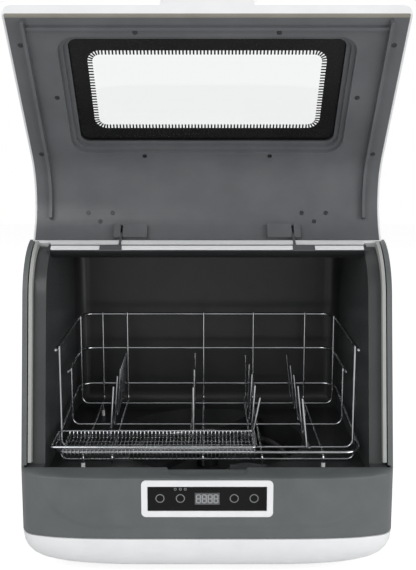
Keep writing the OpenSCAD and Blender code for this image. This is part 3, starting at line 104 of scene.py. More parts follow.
def add_node(
    tree: bpy.types.NodeTree,
    kind: str,
    settings: dict[str, object] | None = None,
    values: dict[str, object] | None = None,
    links: dict[str, tuple[bpy.types.Node, str]] | None = None,
) -> bpy.types.Node:
    """Adds one node to a material.

    Args:
        tree: the node tree.
        kind: Blender's name for the node type.
        settings: attributes of the node.
        values: constants for its input sockets, by name or number.
        links: input socket to the node and output that feed it.

    Returns:
        The new node.
    """
    node = tree.nodes.new(kind)
    for name, value in (settings or {}).items():
        setattr(node, name, value)
    for name, value in (values or {}).items():
        node.inputs[name].default_value = value
    for name, (source, output) in (links or {}).items():
        tree.links.new(source.outputs[output], node.inputs[name])
    return node


@dataclass(frozen=True)
class Finish:
    """A surface finish with a colour that drifts a little, a grain and a roughness that varies.

    The colour runs between two shades by a slow noise. A fine noise runs the roughness between two
    values and raises the grain.
    """

    name: str
    shade_low: str
    shade_high: str
    rough_low: float
    rough_high: float
    grain_mm: float = 1.6
    grain_height_mm: float = 0.03
    drift_mm: float = 45.0
    metallic: float = 0.0
    ior: float = 1.5
    brush: tuple[float, float, float] = (1.0, 1.0, 1.0)

    def build(self) -> bpy.types.Material:
        """Makes the material.

        Returns:
            The finished material.
        """
        material = bpy.data.materials.new(self.name)
        material.use_nodes = True
        tree = material.node_tree
        tree.nodes.clear()
        place = add_node(tree, "ShaderNodeTexCoord")
        stretch = add_node(
            tree, "ShaderNodeMapping", values={"Scale": self.brush}, links={"Vector": (place, "Object")}
        )
        drift = add_node(
            tree,
            "ShaderNodeTexNoise",
            values={"Scale": 1 / (self.drift_mm * MM), "Detail": 3.0, "Roughness": 0.55},
            links={"Vector": (stretch, "Vector")},
        )
        grain = add_node(
            tree,
            "ShaderNodeTexNoise",
            values={"Scale": 1 / (self.grain_mm * MM), "Detail": 2.0, "Roughness": 0.6},
            links={"Vector": (stretch, "Vector")},
        )
        shade = add_node(tree, "ShaderNodeValToRGB", links={"Fac": (drift, "Fac")})
        shade.color_ramp.elements[0].position = 0.3
        shade.color_ramp.elements[0].color = linear_rgb(self.shade_low)
        shade.color_ramp.elements[1].position = 0.7
        shade.color_ramp.elements[1].color = linear_rgb(self.shade_high)
        rough = add_node(
            tree,
            "ShaderNodeMapRange",
            values={"From Min": 0.3, "From Max": 0.7, "To Min": self.rough_low, "To Max": self.rough_high},
            links={"Value": (grain, "Fac")},
        )
        bump = add_node(
            tree,
            "ShaderNodeBump",
            values={"Strength": 0.6, "Distance": self.grain_height_mm * MM},
            links={"Height": (grain, "Fac")},
        )
        surface = add_node(
            tree,
            "ShaderNodeBsdfPrincipled",
            values={"Metallic": self.metallic, "IOR": self.ior},
            links={
                "Base Color": (shade, "Color"),
                "Roughness": (rough, "Result"),
                "Normal": (bump, "Normal"),
            },
        )
        add_node(tree, "ShaderNodeOutputMaterial", links={"Surface": (surface, "BSDF")})
        return material


@dataclass(frozen=True)
class ClearGlass:
    """Tempered float glass: clear, polished, with a faint grey body and faint wipe marks."""

    name: str = "tempered_float_glass"

    def build(self) -> bpy.types.Material:
        """Makes the material.

        Returns:
            The finished material.
        """
        material = bpy.data.materials.new(self.name)
        material.use_nodes = True
        tree = material.node_tree
        tree.nodes.clear()
        place = add_node(tree, "ShaderNodeTexCoord")
        wipe = add_node(
            tree,
            "ShaderNodeTexNoise",
            values={"Scale": 30.0, "Detail": 4.0, "Distortion": 1.5},
            links={"Vector": (place, "Object")},
        )
        rough = add_node(
            tree,
            "ShaderNodeMapRange",
            values={"From Min": 0.45, "From Max": 0.75, "To Min": 0.0, "To Max": 0.05},
            links={"Value": (wipe, "Fac")},
        )
        surface = add_node(
            tree,
            "ShaderNodeBsdfPrincipled",
            values={"Base Color": linear_rgb("#F6F8F7"), "Transmission Weight": 1.0, "IOR": 1.45},
            links={"Roughness": (rough, "Result")},
        )
        add_node(tree, "ShaderNodeOutputMaterial", links={"Surface": (surface, "BSDF")})
        return material


# ABS, injection moulded and lightly polished: a soft sheen with hardly any texture
WHITE_ABS = Finish("moulded_white_abs", "#EDEEF0", "#F4F5F6", 0.28, 0.38, 1.8, 0.012)
# ABS with a fine spark texture from the mould: an even satin mid grey
GREY_ABS = Finish("spark_textured_grey_abs", "#5C6061", "#646869", 0.36, 0.5, 1.4, 0.05)
# The lid's lining, a darker polished ABS that shows broad soft highlights
LINER_ABS = Finish("polished_lining_abs", "#55575A", "#5E6063", 0.3, 0.42, 1.6, 0.03)
# Polypropylene tub, moulded: nearly black with a soft low gloss
TUB_PP = Finish("moulded_dark_polypropylene", "#262728", "#2E2F30", 0.3, 0.42, 2.0, 0.04)
# Extruded rubber seal: matt and even
SEAL_RUBBER = Finish("extruded_grey_rubber", "#A2A4A1", "#ADAFAC", 0.6, 0.75, 1.2, 0.05)
# The softer warm grey strip along the lid's edge
EDGE_RUBBER = Finish("extruded_warm_grey_rubber", "#848278", "#908E84", 0.55, 0.7, 1.2, 0.05)
# Black rubber of the feet and hoses
BLACK_RUBBER = Finish("moulded_black_rubber", "#1A1A1B", "#232324", 0.6, 0.8, 1.2, 0.06)
# Stainless wire, drawn and electropolished: bright, with a roughness that varies a little
WIRE_STEEL = Finish("electropolished_stainless_wire", "#B4B7BA", "#D3D5D7", 0.12, 0.26, 3.0, 0.01, 30.0, 1.0)
# Steel on the screws of the lining, painted dark: a painted shade for the recesses they sit in
SCREW_STEEL_PAINTED_SHADE = Finish("screw_steel_painted_shade", "#3E4042", "#505254", 0.3, 0.42, 0.8, 0.02, 6.0, 1.0)
# Pressed stainless sheet, brushed
SHEET_STEEL = Finish(
    "brushed_stainless_sheet", "#A8ABAE", "#C4C6C8", 0.22, 0.36, 1.0, 0.02, 20.0, 1.0, brush=(1, 8, 1)
)
# The tub's side walls and flange: the tub's polypropylene painted lighter, a painted light where the light
# of the room reaches them
TUB_PAINTED_LIT_PP = Finish("tub_polypropylene_painted_lit", "#3A3C3D", "#424445", 0.28, 0.4, 2.0, 0.04)
# Unfilled polypropylene of the fittings
NATURAL_PP = Finish("natural_polypropylene", "#CFCCC0", "#DAD7CC", 0.35, 0.5, 1.6, 0.02)
# Black nylon of the motors and switches
BLACK_PA = Finish("moulded_black_nylon", "#17181A", "#202124", 0.4, 0.55, 1.3, 0.04)
# Glossy acrylic touch panel
TOUCH_PMMA = Finish("polished_black_acrylic", "#0D0D0E", "#101011", 0.16, 0.22, 3.0, 0.002, 60.0, ior=1.3)
# Display window behind the acrylic
DISPLAY_PC = Finish("smoked_display_window", "#555759", "#5D5F61", 0.3, 0.4, 1.0, 0.01)
# The pale digit segments, which don't glow
SEGMENT_PC = Finish("diffuse_digit_segments", "#A2A4A6", "#AEB0B2", 0.4, 0.5, 0.8, 0.01)
# Silk-screened ring marks on the touch panel
RING_INK = Finish("grey_screen_ink", "#77797B", "#838587", 0.45, 0.55, 0.8, 0.01)
# Enamel printed on the glass and fired
FRIT_ENAMEL = Finish("fired_black_enamel", "#09090A", "#0E0E0F", 0.25, 0.35, 1.5, 0.01, ior=1.35)
# Green solder resist over glass fibre
SOLDER_RESIST = Finish("green_solder_resist", "#1B5536", "#226241", 0.3, 0.4, 2.0, 0.05)
GLASS = ClearGlass()


def smooth_by_angle(obj: bpy.types.Object, degrees: float) -> None:
    """Shades an object smooth except over edges sharper than an angle.

    Args:
        obj: the mesh object.
        degrees: the sharpest angle that stays smooth.
    """
    mesh = obj.data
    mesh.polygons.foreach_set("use_smooth", np.ones(len(mesh.polygons), dtype=bool))
    mesh.set_sharp_from_angle(angle=math.radians(degrees))
    mesh.update()


def new_piece(
    name: str,
    points: np.ndarray,
    faces: list[tuple[int, ...]] | np.ndarray,
    material: bpy.types.Material,
    smooth: float = 40.0,
    closed: bool = False,
) -> bpy.types.Object:
    """Makes a mesh object from points in millimetres.

    Args:
        name: the piece's name.
        points: an array of points, three columns.
        faces: lists of point numbers.
        material: the finish.
        smooth: the sharpest angle that stays smooth, in degrees.
        closed: whether the faces close, so that all can be turned outward.

    Returns:
        The object, linked to the scene.
    """
    mesh = bpy.data.meshes.new(name)
    rows = faces.tolist() if isinstance(faces, np.ndarray) else faces
    mesh.from_pydata((points * MM).tolist(), [], rows)
    mesh.validate()
    if closed:
        work = bmesh.new()
        work.from_mesh(mesh)
        bmesh.ops.recalc_face_normals(work, faces=work.faces)
        work.to_mesh(mesh)
        work.free()
    mesh.materials.append(material)
    obj = bpy.data.objects.new(name, mesh)
    bpy.context.scene.collection.objects.link(obj)
    smooth_by_angle(obj, smooth)
    return obj


def grid_faces(rows: int, cols: int, wrap: bool, start: int = 0) -> np.ndarray:
    """Numbers the quads of a grid of points.

    Args:
        rows: points along the first direction.
        cols: points along the second direction.
        wrap: whether the second direction closes on itself.
        start: number of the first point.

    Returns:
        An array of quads.
    """
    i = np.arange(rows - 1)[:, None]
    j = np.arange(cols if wrap else cols - 1)[None, :]
    k = (j + 1) % cols
    quads = np.stack([i * cols + j, i * cols + k, (i + 1) * cols + k, (i + 1) * cols + j], axis=-1)
    return quads.reshape(-1, 4) + start


@dataclass
class MeshBuffer:
    """Collects the points and faces of one piece."""

    points: list[np.ndarray] = field(default_factory=list)
    faces: list[tuple[int, ...]] = field(default_factory=list)
    count: int = 0

    def add(self, points: np.ndarray, faces: list[tuple[int, ...]] | np.ndarray) -> None:
        """Adds one part.

        Args:
            points: its points.
            faces: its faces, counted from its first point.
        """
        rows = faces.tolist() if isinstance(faces, np.ndarray) else faces
        self.faces.extend([tuple(n + self.count for n in row) for row in rows])
        self.points.append(points)
        self.count += len(points)

    def piece(self, name: str, material: bpy.types.Material, smooth: float = 40.0) -> bpy.types.Object:
        """Makes the collected mesh object."""
        return new_piece(name, np.concatenate(self.points), self.faces, material, smooth, closed=True)


def rounded_path(corners: list[tuple[float, float, float]], radius: float, steps: int = 6) -> np.ndarray:
    """Rounds the inner corners of a path with arcs.

    Each corner is replaced by points on the circle of the given radius that touches both of its legs.

    Args:
        corners: the path's corners, in millimetres.
        radius: the bend radius.
        steps: points in each bend.

    Returns:
        The path's points.
    """
    pts = [np.array(c, dtype=float) for c in corners]
    out = [pts[0]]
    for before, corner, after in zip(pts, pts[1:], pts[2:]):
        u = (corner - before) / np.linalg.norm(corner - before)
        w = (after - corner) / np.linalg.norm(after - corner)
        turn = math.acos(float(np.clip(u @ w, -1, 1)))
        side = (w - u * (u @ w)) / max(np.linalg.norm(w - u * (u @ w)), 1e-9)
        start = corner - u * radius * math.tan(turn / 2)
        angles = np.linspace(0, turn, steps)
        bend = np.outer(np.sin(angles), u) + np.outer(1 - np.cos(angles), side)
        out.extend(list(start + bend * radius))
    out.append(pts[-1])
    return np.array(out)


def wire(
    buffer: MeshBuffer, path: np.ndarray, diameter: float, sides: int = 10, closed: bool = False
) -> None:
    """Carries a circle along a path and domes its two ends.

    The circle stays square to the path, and its up direction is carried from point to point by
    taking out what lies along the new direction.

    Args:
        buffer: where the mesh goes.
        path: the centre line's points.
        diameter: the wire's diameter.
        sides: faces round it.
        closed: whether the path ends where it starts.
    """
    ahead = np.gradient(path, axis=0)
    ahead /= np.linalg.norm(ahead, axis=1)[:, None]
    up = np.array([0.0, 0.0, 1.0]) if abs(ahead[0][2]) < 0.9 else np.array([1.0, 0.0, 0.0])
    ups = []
    for direction in ahead:
        up = up - direction * (up @ direction)
        up = up / np.linalg.norm(up)
        ups.append(up)
    ups = np.array(ups)
    across = np.cross(ahead, ups)
    radii = np.full(len(path), diameter / 2)
    if not closed:
        tip = diameter / 2 * np.array([1.0, 0.7])
        path = np.concatenate([[path[0]], [path[0] + ahead[0] * tip[1] * 0.6], path[1:-1],
                               [path[-1] - ahead[-1] * tip[1] * 0.6], [path[-1]]])
        ups = np.concatenate([[ups[0]], ups, [ups[-1]]])
        across = np.concatenate([[across[0]], across, [across[-1]]])
        radii = np.concatenate([[diameter * 0.3], radii, [diameter * 0.3]])
    angle = np.linspace(0, 2 * math.pi, sides, endpoint=False)
    ring = ups[:, None, :] * np.cos(angle)[None, :, None] + across[:, None, :] * np.sin(angle)[None, :, None]
    points = path[:, None, :] + ring * radii[:, None, None]
    rows = len(path)
    faces = [tuple(q) for q in grid_faces(rows, sides, True).tolist()]
    if closed:
        last = (rows - 1) * sides
        faces = faces[: (rows - 2) * sides]
        seam = last - sides
        faces += [(seam + n, seam + (n + 1) % sides, (n + 1) % sides, n) for n in range(sides)]
        points = points[:-1]
    else:
        faces.append(tuple(range(sides - 1, -1, -1)))
        faces.append(tuple((rows - 1) * sides + n for n in range(sides)))
    buffer.add(points.reshape(-1, 3), faces)


def bent_wire(
    buffer: MeshBuffer,
    corners: list[tuple[float, float, float]],
    diameter: float,
    radius: float,
    sides: int = 10,
) -> None:
    """Adds a wire bent at each corner."""
    wire(buffer, rounded_path(corners, radius), diameter, sides)


@dataclass
class DishRack:
    """The welded wire rack: rails, cross wires, long wires and tines, in millimetres."""

    steel: bpy.types.Material
    half: float = 177.4
    base_half: float = 182.5
    rail: float = 4.0
    thin: float = 2.8
    gap: float = 0.05
    floor: float = RACK_FLOOR_Z
    top: float = MOUTH_Z + 130.0
    middle: float = MOUTH_Z + 81.0
    low: float = MOUTH_Z + 29.0
    front: float = MOUTH_Y + 22.0
    rear: float = MOUTH_Y + 250.0
    row_end: float = MOUTH_Y + 243.0
    wire_overrun: float = 4.0
    low_cross_y: float = MOUTH_Y + 55.0
    low_cross_rise: float = 0.8
    low_cross_head: float = 7.0
    low_cross_out: float = 1.6
    foot_rise: float = 8.3
    front_hook: float = 14.0
    rear_foot_in: float = 16.0
    cross_y: tuple[float, float, float] = (MOUTH_Y + 40.4, MOUTH_Y + 125.7, MOUTH_Y + 216.8)
    long_x: tuple[float, ...] = (-147.0, -112.5, -5.0, 65.0, 137.5)
    plate_x: tuple[float, float] = (-122.0, -20.0)
    bowl_x: tuple[float, float] = (52.0, 121.5)
    plate_y: tuple[tuple[float, ...], ...] = ((240, 223, 206, 190, 173, 157, 119, 71), (240, 151, 68.5))
    bowl_y: tuple[tuple[float, ...], ...] = ((240, 188, 138, 85.5, 68), (240, 184, 135, 82.5, 30))
    bowl_lean: tuple[tuple[float, ...], ...] = ((-1.2, 1.8, 3.2, 4.3, 9.6), (-6.5, -6.5, -6.5, -6.5, -6.5))

    def rails(self) -> bpy.types.Object:
        """Builds the two open rails and the base loop, which slants down to the front."""
        buffer = MeshBuffer()
        for height, start in ((self.top, self.cross_y[0]), (self.middle, self.cross_y[1])):
            bent_wire(
                buffer,
                [(-self.half, start - 6, height), (-self.half, self.rear, height),
                 (self.half, self.rear, height), (self.half, start - 6, height)],
                self.rail, 20.0, 12,
            )
        side = self.base_half
        loop = [(0, self.rear, self.low), (-side, self.rear, self.low), (-side, self.front, self.floor),
                (side, self.front, self.floor), (side, self.rear, self.low), (0, self.rear, self.low)]
        wire(buffer, rounded_path(loop, 20.0), self.rail, 12, closed=True)
        return buffer.piece("rack_bent_rails", self.steel)

    def cross_wires(self) -> bpy.types.Object:
        """Builds the U-shaped cross wires."""
        buffer = MeshBuffer()
        leg = self.half - self.rail / 2 - self.thin / 2 - self.gap
        low_z = TUB_LEDGE_Z + self.thin / 2 + self.low_cross_rise
        for y, head, base, x in (
            (self.cross_y[0], self.top + self.wire_overrun, self.floor, leg),
            (self.cross_y[1], self.middle + self.wire_overrun, self.floor, leg),
            (self.cross_y[2], self.top + self.wire_overrun, self.floor, leg),
            (self.low_cross_y, self.floor + self.low_cross_head, low_z, self.half + self.low_cross_out),
        ):
            bent_wire(buffer, [(-x, y, head), (-x, y, base), (x, y, base), (x, y, head)], self.thin, 9.0)
        return buffer.piece("rack_bent_cross_wires", self.steel)

    def long_wires(self) -> bpy.types.Object:
        """Builds the wires that run up the back and forward under the floor."""
        buffer = MeshBuffer()
        low = self.floor - self.rail / 2 - self.thin / 2 - self.gap
        step = self.rail / 2 + self.thin / 2 + self.gap
        foot = TUB_LEDGE_Z + self.foot_rise
        for number, x in enumerate(self.long_x):
            is_foot = number in (0, len(self.long_x) - 1)
            end = foot if is_foot else low - self.front_hook
            bent_wire(
                buffer,
                [(x, self.rear - step, self.top + 3), (x, self.rear - step, low),
                 (x, self.front + step, low), (x, self.front + step, end)],
                self.thin, 6.0,
            )
            if is_foot:
                y = self.rear - step - self.rear_foot_in
                wire(buffer, np.array([(x, y, low - self.thin / 2 - self.gap), (x, y, foot)]), self.thin)
        return buffer.piece("rack_bent_long_wires", self.steel)

    def tines(self, name: str, base_x: float, start_y: float, side: float, ys: tuple[float, ...],
              leans: tuple[float, ...], tops: tuple[float, ...], buffer: MeshBuffer) -> None:
        """Adds one row: a base wire and its tines, each beside it.

        Args:
            name: the row's name in the log.
            base_x: place of the base wire.
            start_y: where the base wire starts.
            side: +1 or -1, the side on which the tines stand.
            ys: distance of each tine from the mouth.
            leans: how far each tip stands to the right of its foot.
            tops: height of each tip above the mouth.
            buffer: the buffer that takes the row.
        """
        base = self.floor + self.thin + self.gap
        wire(buffer, np.array([(base_x, start_y, base), (base_x, self.row_end, base)]), self.thin)
        foot_x = base_x + side * (self.thin + 0.3)
        for y, lean, top in zip(ys, leans, tops):
            foot = (foot_x, MOUTH_Y + y, base - self.thin / 2)
            tip = (foot_x + lean, MOUTH_Y + y, MOUTH_Z + top)
            wire(buffer, np.array([foot, tip]), self.thin)
        LOG.info("%s: %d tines", name, len(ys))

    def plate_tines(self) -> bpy.types.Object:
        """Builds the two left rows."""
        buffer = MeshBuffer()
        for name, x, ys, lean in (("left_row", self.plate_x[0], self.plate_y[0], 4.5),
                                  ("middle_row", self.plate_x[1], self.plate_y[1], 0.0)):
            self.tines(name, x, MOUTH_Y + 66, 1.0, ys, (lean,) * len(ys), (76.0,) * len(ys), buffer)
        return buffer.piece("rack_plate_tines", self.steel)

    def bowl_tines(self) -> bpy.types.Object:
        """Builds the two right rows, which lean."""
        buffer = MeshBuffer()
        tops = ((73.4, 73.4, 73.4, 73.4, 63.0), (73.4,) * 5)
        front = self.front + self.rail / 2 + self.thin / 2 + self.gap + 3
        for name, row, start, side in (("right_row", 0, MOUTH_Y + 67, 1.0), ("outer_row", 1, front, -1.0)):
            ys, leans = self.bowl_y[row], self.bowl_lean[row]
            self.tines(name, self.bowl_x[row], start, side, ys, leans, tops[row], buffer)
        return buffer.piece("rack_bowl_tines", self.steel)

    def build(self) -> None:
        """Builds the rack and puts it on its body."""
        for piece, node in (
            (self.rails(), "rack_rails"),
            (self.cross_wires(), "rack_cross_wires"),
            (self.long_wires(), "rack_long_wires"),
            (self.plate_tines(), "plate_tines"),
            (self.bowl_tines(), "bowl_tines"),
        ):
            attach(piece, Body.RACK.value)
            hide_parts(node)
            LOG.info("%s: %d faces", piece.name, len(piece.data.polygons))


@dataclass
class CutleryTray:
    """The woven wire tray with its thicker rim, in millimetres."""

    steel: bpy.types.Material
    x0: float = -181.8
    width: float = 239.2
    y0: float = MOUTH_Y + 8.0
    depth: float = 57.0
    net_z: float = RACK_FLOOR_Z + 2.9
    height: float = 8.6
    net_x0: float = -169.95
    pitch: float = 4.5
    row_pitch: float = 9.5
    net: float = 0.9
    rim: float = 3.0

    def build(self) -> None:
        """Builds the rim and the woven net."""
        x1, y1, top = self.x0 + self.width, self.y0 + self.depth, self.net_z + self.height
        buffer = MeshBuffer()
        loop = [(0, self.y0, top), (self.x0, self.y0, top), (self.x0, y1, top), (x1, y1, top),
                (x1, self.y0, top), (0, self.y0, top)]
        wire(buffer, rounded_path(loop, 5.0), self.rim, 12, closed=True)
        rim = buffer.piece("tray_bent_rim", self.steel)
        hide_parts("tray_rim")
        net = MeshBuffer()
        inset = self.rim / 2 + self.net / 2 + 0.1
        left, right = self.net_x0 + inset, x1 - inset
        front, back = self.y0 + inset, y1 - inset
        for x in np.linspace(left, right, int((right - left) / self.pitch) + 1):
            rod = [(x, front, self.net_z), (x, back, self.net_z), (x, back, top + 0.6)]
            bent_wire(net, rod, self.net, 1.5, 6)
            wire(net, np.array([(x, front, top + 0.6), (x, front, MOUTH_Z + 5.0)]), self.net, 6)
        for y in np.linspace(front + 3, back - 3, int((back - front - 6) / self.row_pitch) + 1):
            bent_wire(net, [(left, y, top - 1), (left, y, self.net_z + 1.0), (right, y, self.net_z + 1.0),
                            (right, y, top - 1)], self.net, 1.5, 6)
        for z in (self.net_z + 3.0, self.net_z + 5.6):
            for y in (front + self.net, back - self.net):
                wire(net, np.array([(left, y, z), (right, y, z)]), self.net, 6)
            for x in (left + self.net, right - self.net):
                wire(net, np.array([(x, front, z), (x, back, z)]), self.net, 6)
        mesh = net.piece("tray_woven_net", self.steel)
        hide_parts("tray_net")
        for piece in (rim, mesh):
            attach(piece, Body.TRAY.value)
            LOG.info("%s: %d faces", piece.name, len(piece.data.polygons))


def line_at(s: np.ndarray, d: np.ndarray) -> tuple[np.ndarray, np.ndarray]:
    """Gives the lid line's points: a slope, an arc of BEND_R and a flat run, moved out by d.

    Args:
        s: lengths along the line, in millimetres.
        d: offsets outward.

    Returns:
        The y and z of each point.
    """
    s, d = np.broadcast_arrays(np.asarray(s, dtype=float), np.asarray(d, dtype=float))
    sin, cos = math.sin(SLOPE_LEAN), math.cos(SLOPE_LEAN)
    angle = math.pi - SLOPE_LEAN - np.clip(s - SLOPE_LEN, 0, ARC_LEN) / BEND_R
    y_arc = BEND_Y + (BEND_R + d) * np.cos(angle)
    z_arc = BEND_Z + (BEND_R + d) * np.sin(angle)
    on_slope = s <= SLOPE_LEN
    y = np.where(on_slope, MOUTH_Y + s * sin - d * cos, y_arc + np.maximum(0, s - SLOPE_LEN - ARC_LEN))
    z = np.where(on_slope, MOUTH_Z + s * cos + d * sin, z_arc)
    return y, z


def opened(points: np.ndarray) -> np.ndarray:
    """Turns closed-lid points about the hinge axis to the open pose."""
    y, z = points[..., 1] - AXIS_Y, points[..., 2] - AXIS_Z
    c, s = math.cos(-LID_OPEN), math.sin(-LID_OPEN)
    return np.stack([points[..., 0], AXIS_Y + y * c - z * s, AXIS_Z + y * s + z * c], axis=-1)


def on_lid(flat: np.ndarray, s0: float) -> np.ndarray:
    """Places flat points on the lid's outer plane at length s0: x across, y up the lid, z outward."""
    taper = math.atan((LID_EDGE_T - LID_BEND_T) / SLOPE_LEN)
    depth = LID_EDGE_T + (LID_BEND_T - LID_EDGE_T) * s0 / SLOPE_LEN
    y0, z0 = line_at(np.array(s0), np.array(depth))
    a = math.pi / 2 - SLOPE_LEAN - taper
    y = y0 + flat[..., 1] * math.cos(a) - flat[..., 2] * math.sin(a)
    z = z0 + flat[..., 1] * math.sin(a) + flat[..., 2] * math.cos(a)
    return opened(np.stack([flat[..., 0], y, z], axis=-1))


def rounded_outline(half_x: float, half_y: float, radius: float, steps: int = 10) -> np.ndarray:
    """Gives a rounded rectangle's points: four quarter circles joined by straight sides."""
    corners = [(half_x - radius, half_y - radius, 0), (-half_x + radius, half_y - radius, 90),
               (-half_x + radius, -half_y + radius, 180), (half_x - radius, -half_y + radius, 270)]
    rows = []
    for cx, cy, start in corners:
        a = np.radians(start + np.linspace(0, 90, steps))
        rows.append(np.stack([cx + radius * np.cos(a), cy + radius * np.sin(a)], axis=-1))
    return np.concatenate(rows)


@dataclass
class WindowPrint:
    """The enamel border fired on the inside of the glass, with its row of dashes, in millimetres."""

    enamel: bpy.types.Material
    middle: float = 110.0
    outer: tuple[float, float, float] = (155.6, 76.6, 18.0)
    inner: tuple[float, float, float] = (133.2, 55.0, 14.5)
    depth: float = -4.01
    thick: float = 0.05
    dash: tuple[float, float] = (1.9, 5.4)
    pitch: float = 3.9

    def build(self) -> None:
        """Builds the border and the dashes that stand in from it."""
        buffer = MeshBuffer()
        outside = rounded_outline(*self.outer)
        inside = rounded_outline(*self.inner)
        rings = []
        low = -self.thick
        for outline, level in ((outside, 0.0), (inside, 0.0), (inside, low), (outside, low)):
            rings.append(np.column_stack([outline, np.full(len(outline), self.depth + level)]))
        points = np.stack(rings + [rings[0]])
        count = len(outside)
        quads = grid_faces(4, count, True)
        back = np.stack([np.arange(count) + 3 * count, (np.arange(count) + 1) % count + 3 * count,
                         (np.arange(count) + 1) % count, np.arange(count)], axis=-1)
        buffer.add(points[:4].reshape(-1, 3), np.concatenate([quads, back]))
        fine = rounded_outline(*self.inner, steps=60)
        loop = np.concatenate([fine, fine[:1]])
        run = np.concatenate([[0], np.cumsum(np.linalg.norm(np.diff(loop, axis=0), axis=1))])
        number = int(round(run[-1] / self.pitch))
        at = np.linspace(0, run[-1], number, endpoint=False)
        centre = np.column_stack([np.interp(at, run, loop[:, 0]), np.interp(at, run, loop[:, 1])])
        ahead = np.column_stack([np.interp(at + 0.5, run, loop[:, 0], period=run[-1]),
                                 np.interp(at + 0.5, run, loop[:, 1], period=run[-1])]) - centre
        ahead /= np.linalg.norm(ahead, axis=1)[:, None]
        inward = np.column_stack([-ahead[:, 1], ahead[:, 0]])
        half, length = self.dash[0] / 2, self.dash[1]
        for c, a, n in zip(centre, ahead, inward):
            corners = [c - a * half - n * 0.3, c + a * half - n * 0.3, c + a * half + n * length,
                       c - a * half + n * length]
            under = [(*p, self.depth - self.thick) for p in corners]
            over = [(*p, self.depth) for p in corners]
            sides = [(0, 1, 5, 4), (1, 2, 6, 5), (2, 3, 7, 6), (3, 0, 4, 7)]
            buffer.add(np.array(under + over), [(3, 2, 1, 0), (4, 5, 6, 7), *sides])
        points = on_lid(np.concatenate(buffer.points), self.middle)
        piece = new_piece("window_enamel_border", points, buffer.faces, self.enamel, 20.0, closed=True)
        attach(piece, Body.LID.value)
        LOG.info("%s: %d faces", piece.name, len(piece.data.polygons))


@dataclass
class TouchMarks:
    """The printed rings, the small icons and the four digits of the display, in millimetres."""

    ink: bpy.types.Material
    lit: bpy.types.Material
    face_y: float = -199.6
    middle_z: float = 105.5
    ring_x: tuple[float, ...] = (-53.3, -30.3, 30.5, 52.9)
    ring_z: float = 106.0
    ring_r: tuple[float, float] = (5.1, 4.1)
    ring_steps: int = 40
    icon_x: tuple[float, ...] = (-36.0, -30.3, -24.7)
    icon_z: float = 117.0
    icon_r: tuple[float, float] = (1.6, 0.9)
    digit_x: tuple[float, ...] = (-9.9, -3.3, 3.3, 9.9)
    digit_rise: float = 4.7
    digit_half: tuple[float, float] = (2.2, 2.35)

    def plate(self, buffer: MeshBuffer, outline: np.ndarray, thick: float = 0.12) -> None:
        """Adds a thin flat shape that stands out of the panel's face."""
        count = len(outline)
        front = np.column_stack([outline[:, 0], np.full(count, self.face_y - thick), outline[:, 1]])
        back = front + np.array([0, thick - 0.02, 0])
        sides = grid_faces(2, count, True)
        buffer.add(np.concatenate([front, back]),
                   [tuple(q) for q in sides.tolist()] + [tuple(range(count - 1, -1, -1)),
                                                         tuple(range(count, 2 * count))])

    def ring(self, buffer: MeshBuffer, x: float, z: float, outer: float, inner: float) -> None:
        """Adds a thin ring, made of two circles in front and two behind."""
        steps = self.ring_steps
        a = np.linspace(0, 2 * math.pi, steps, endpoint=False)
        rings = []
        for radius, y in ((outer, -0.12), (inner, -0.12), (inner, -0.02), (outer, -0.02)):
            rings.append(np.column_stack([x + radius * np.cos(a), np.full(steps, self.face_y + y),
                                          z + radius * np.sin(a)]))
        faces = grid_faces(4, steps, True).tolist()
        last = 3 * steps
        faces += [[n + last, (n + 1) % steps + last, (n + 1) % steps, n] for n in range(steps)]
        buffer.add(np.concatenate(rings), [tuple(f) for f in faces])

    def build(self) -> None:
        """Builds the marks and the digits."""
        marks = MeshBuffer()
        for x in self.ring_x:
            self.ring(marks, x, self.ring_z, *self.ring_r)
        for x in self.icon_x:
            self.ring(marks, x, self.icon_z, *self.icon_r)
        piece = marks.piece("panel_ring_marks", self.ink, 30.0)
        digits = MeshBuffer()
        across = np.array([(-1.7, -0.55), (1.7, -0.55), (1.7, 0.55), (-1.7, 0.55)])
        upright = np.array([(-0.6, -2.1), (0.6, -2.1), (0.6, 2.1), (-0.6, 2.1)])
        for x in self.digit_x:
            for z in (-self.digit_rise, 0.0, self.digit_rise):
                self.plate(digits, across + np.array([x, self.middle_z + z]))
            for dx in (-self.digit_half[0], self.digit_half[0]):
                for dz in (-self.digit_half[1], self.digit_half[1]):
                    self.plate(digits, upright + np.array([x + dx, self.middle_z + dz]))
        lit = digits.piece("display_digit_segments", self.lit, 30.0)
        for made in (piece, lit):
            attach(made, Body.HOUSING.value)
            LOG.info("%s: %d faces", made.name, len(made.data.polygons))


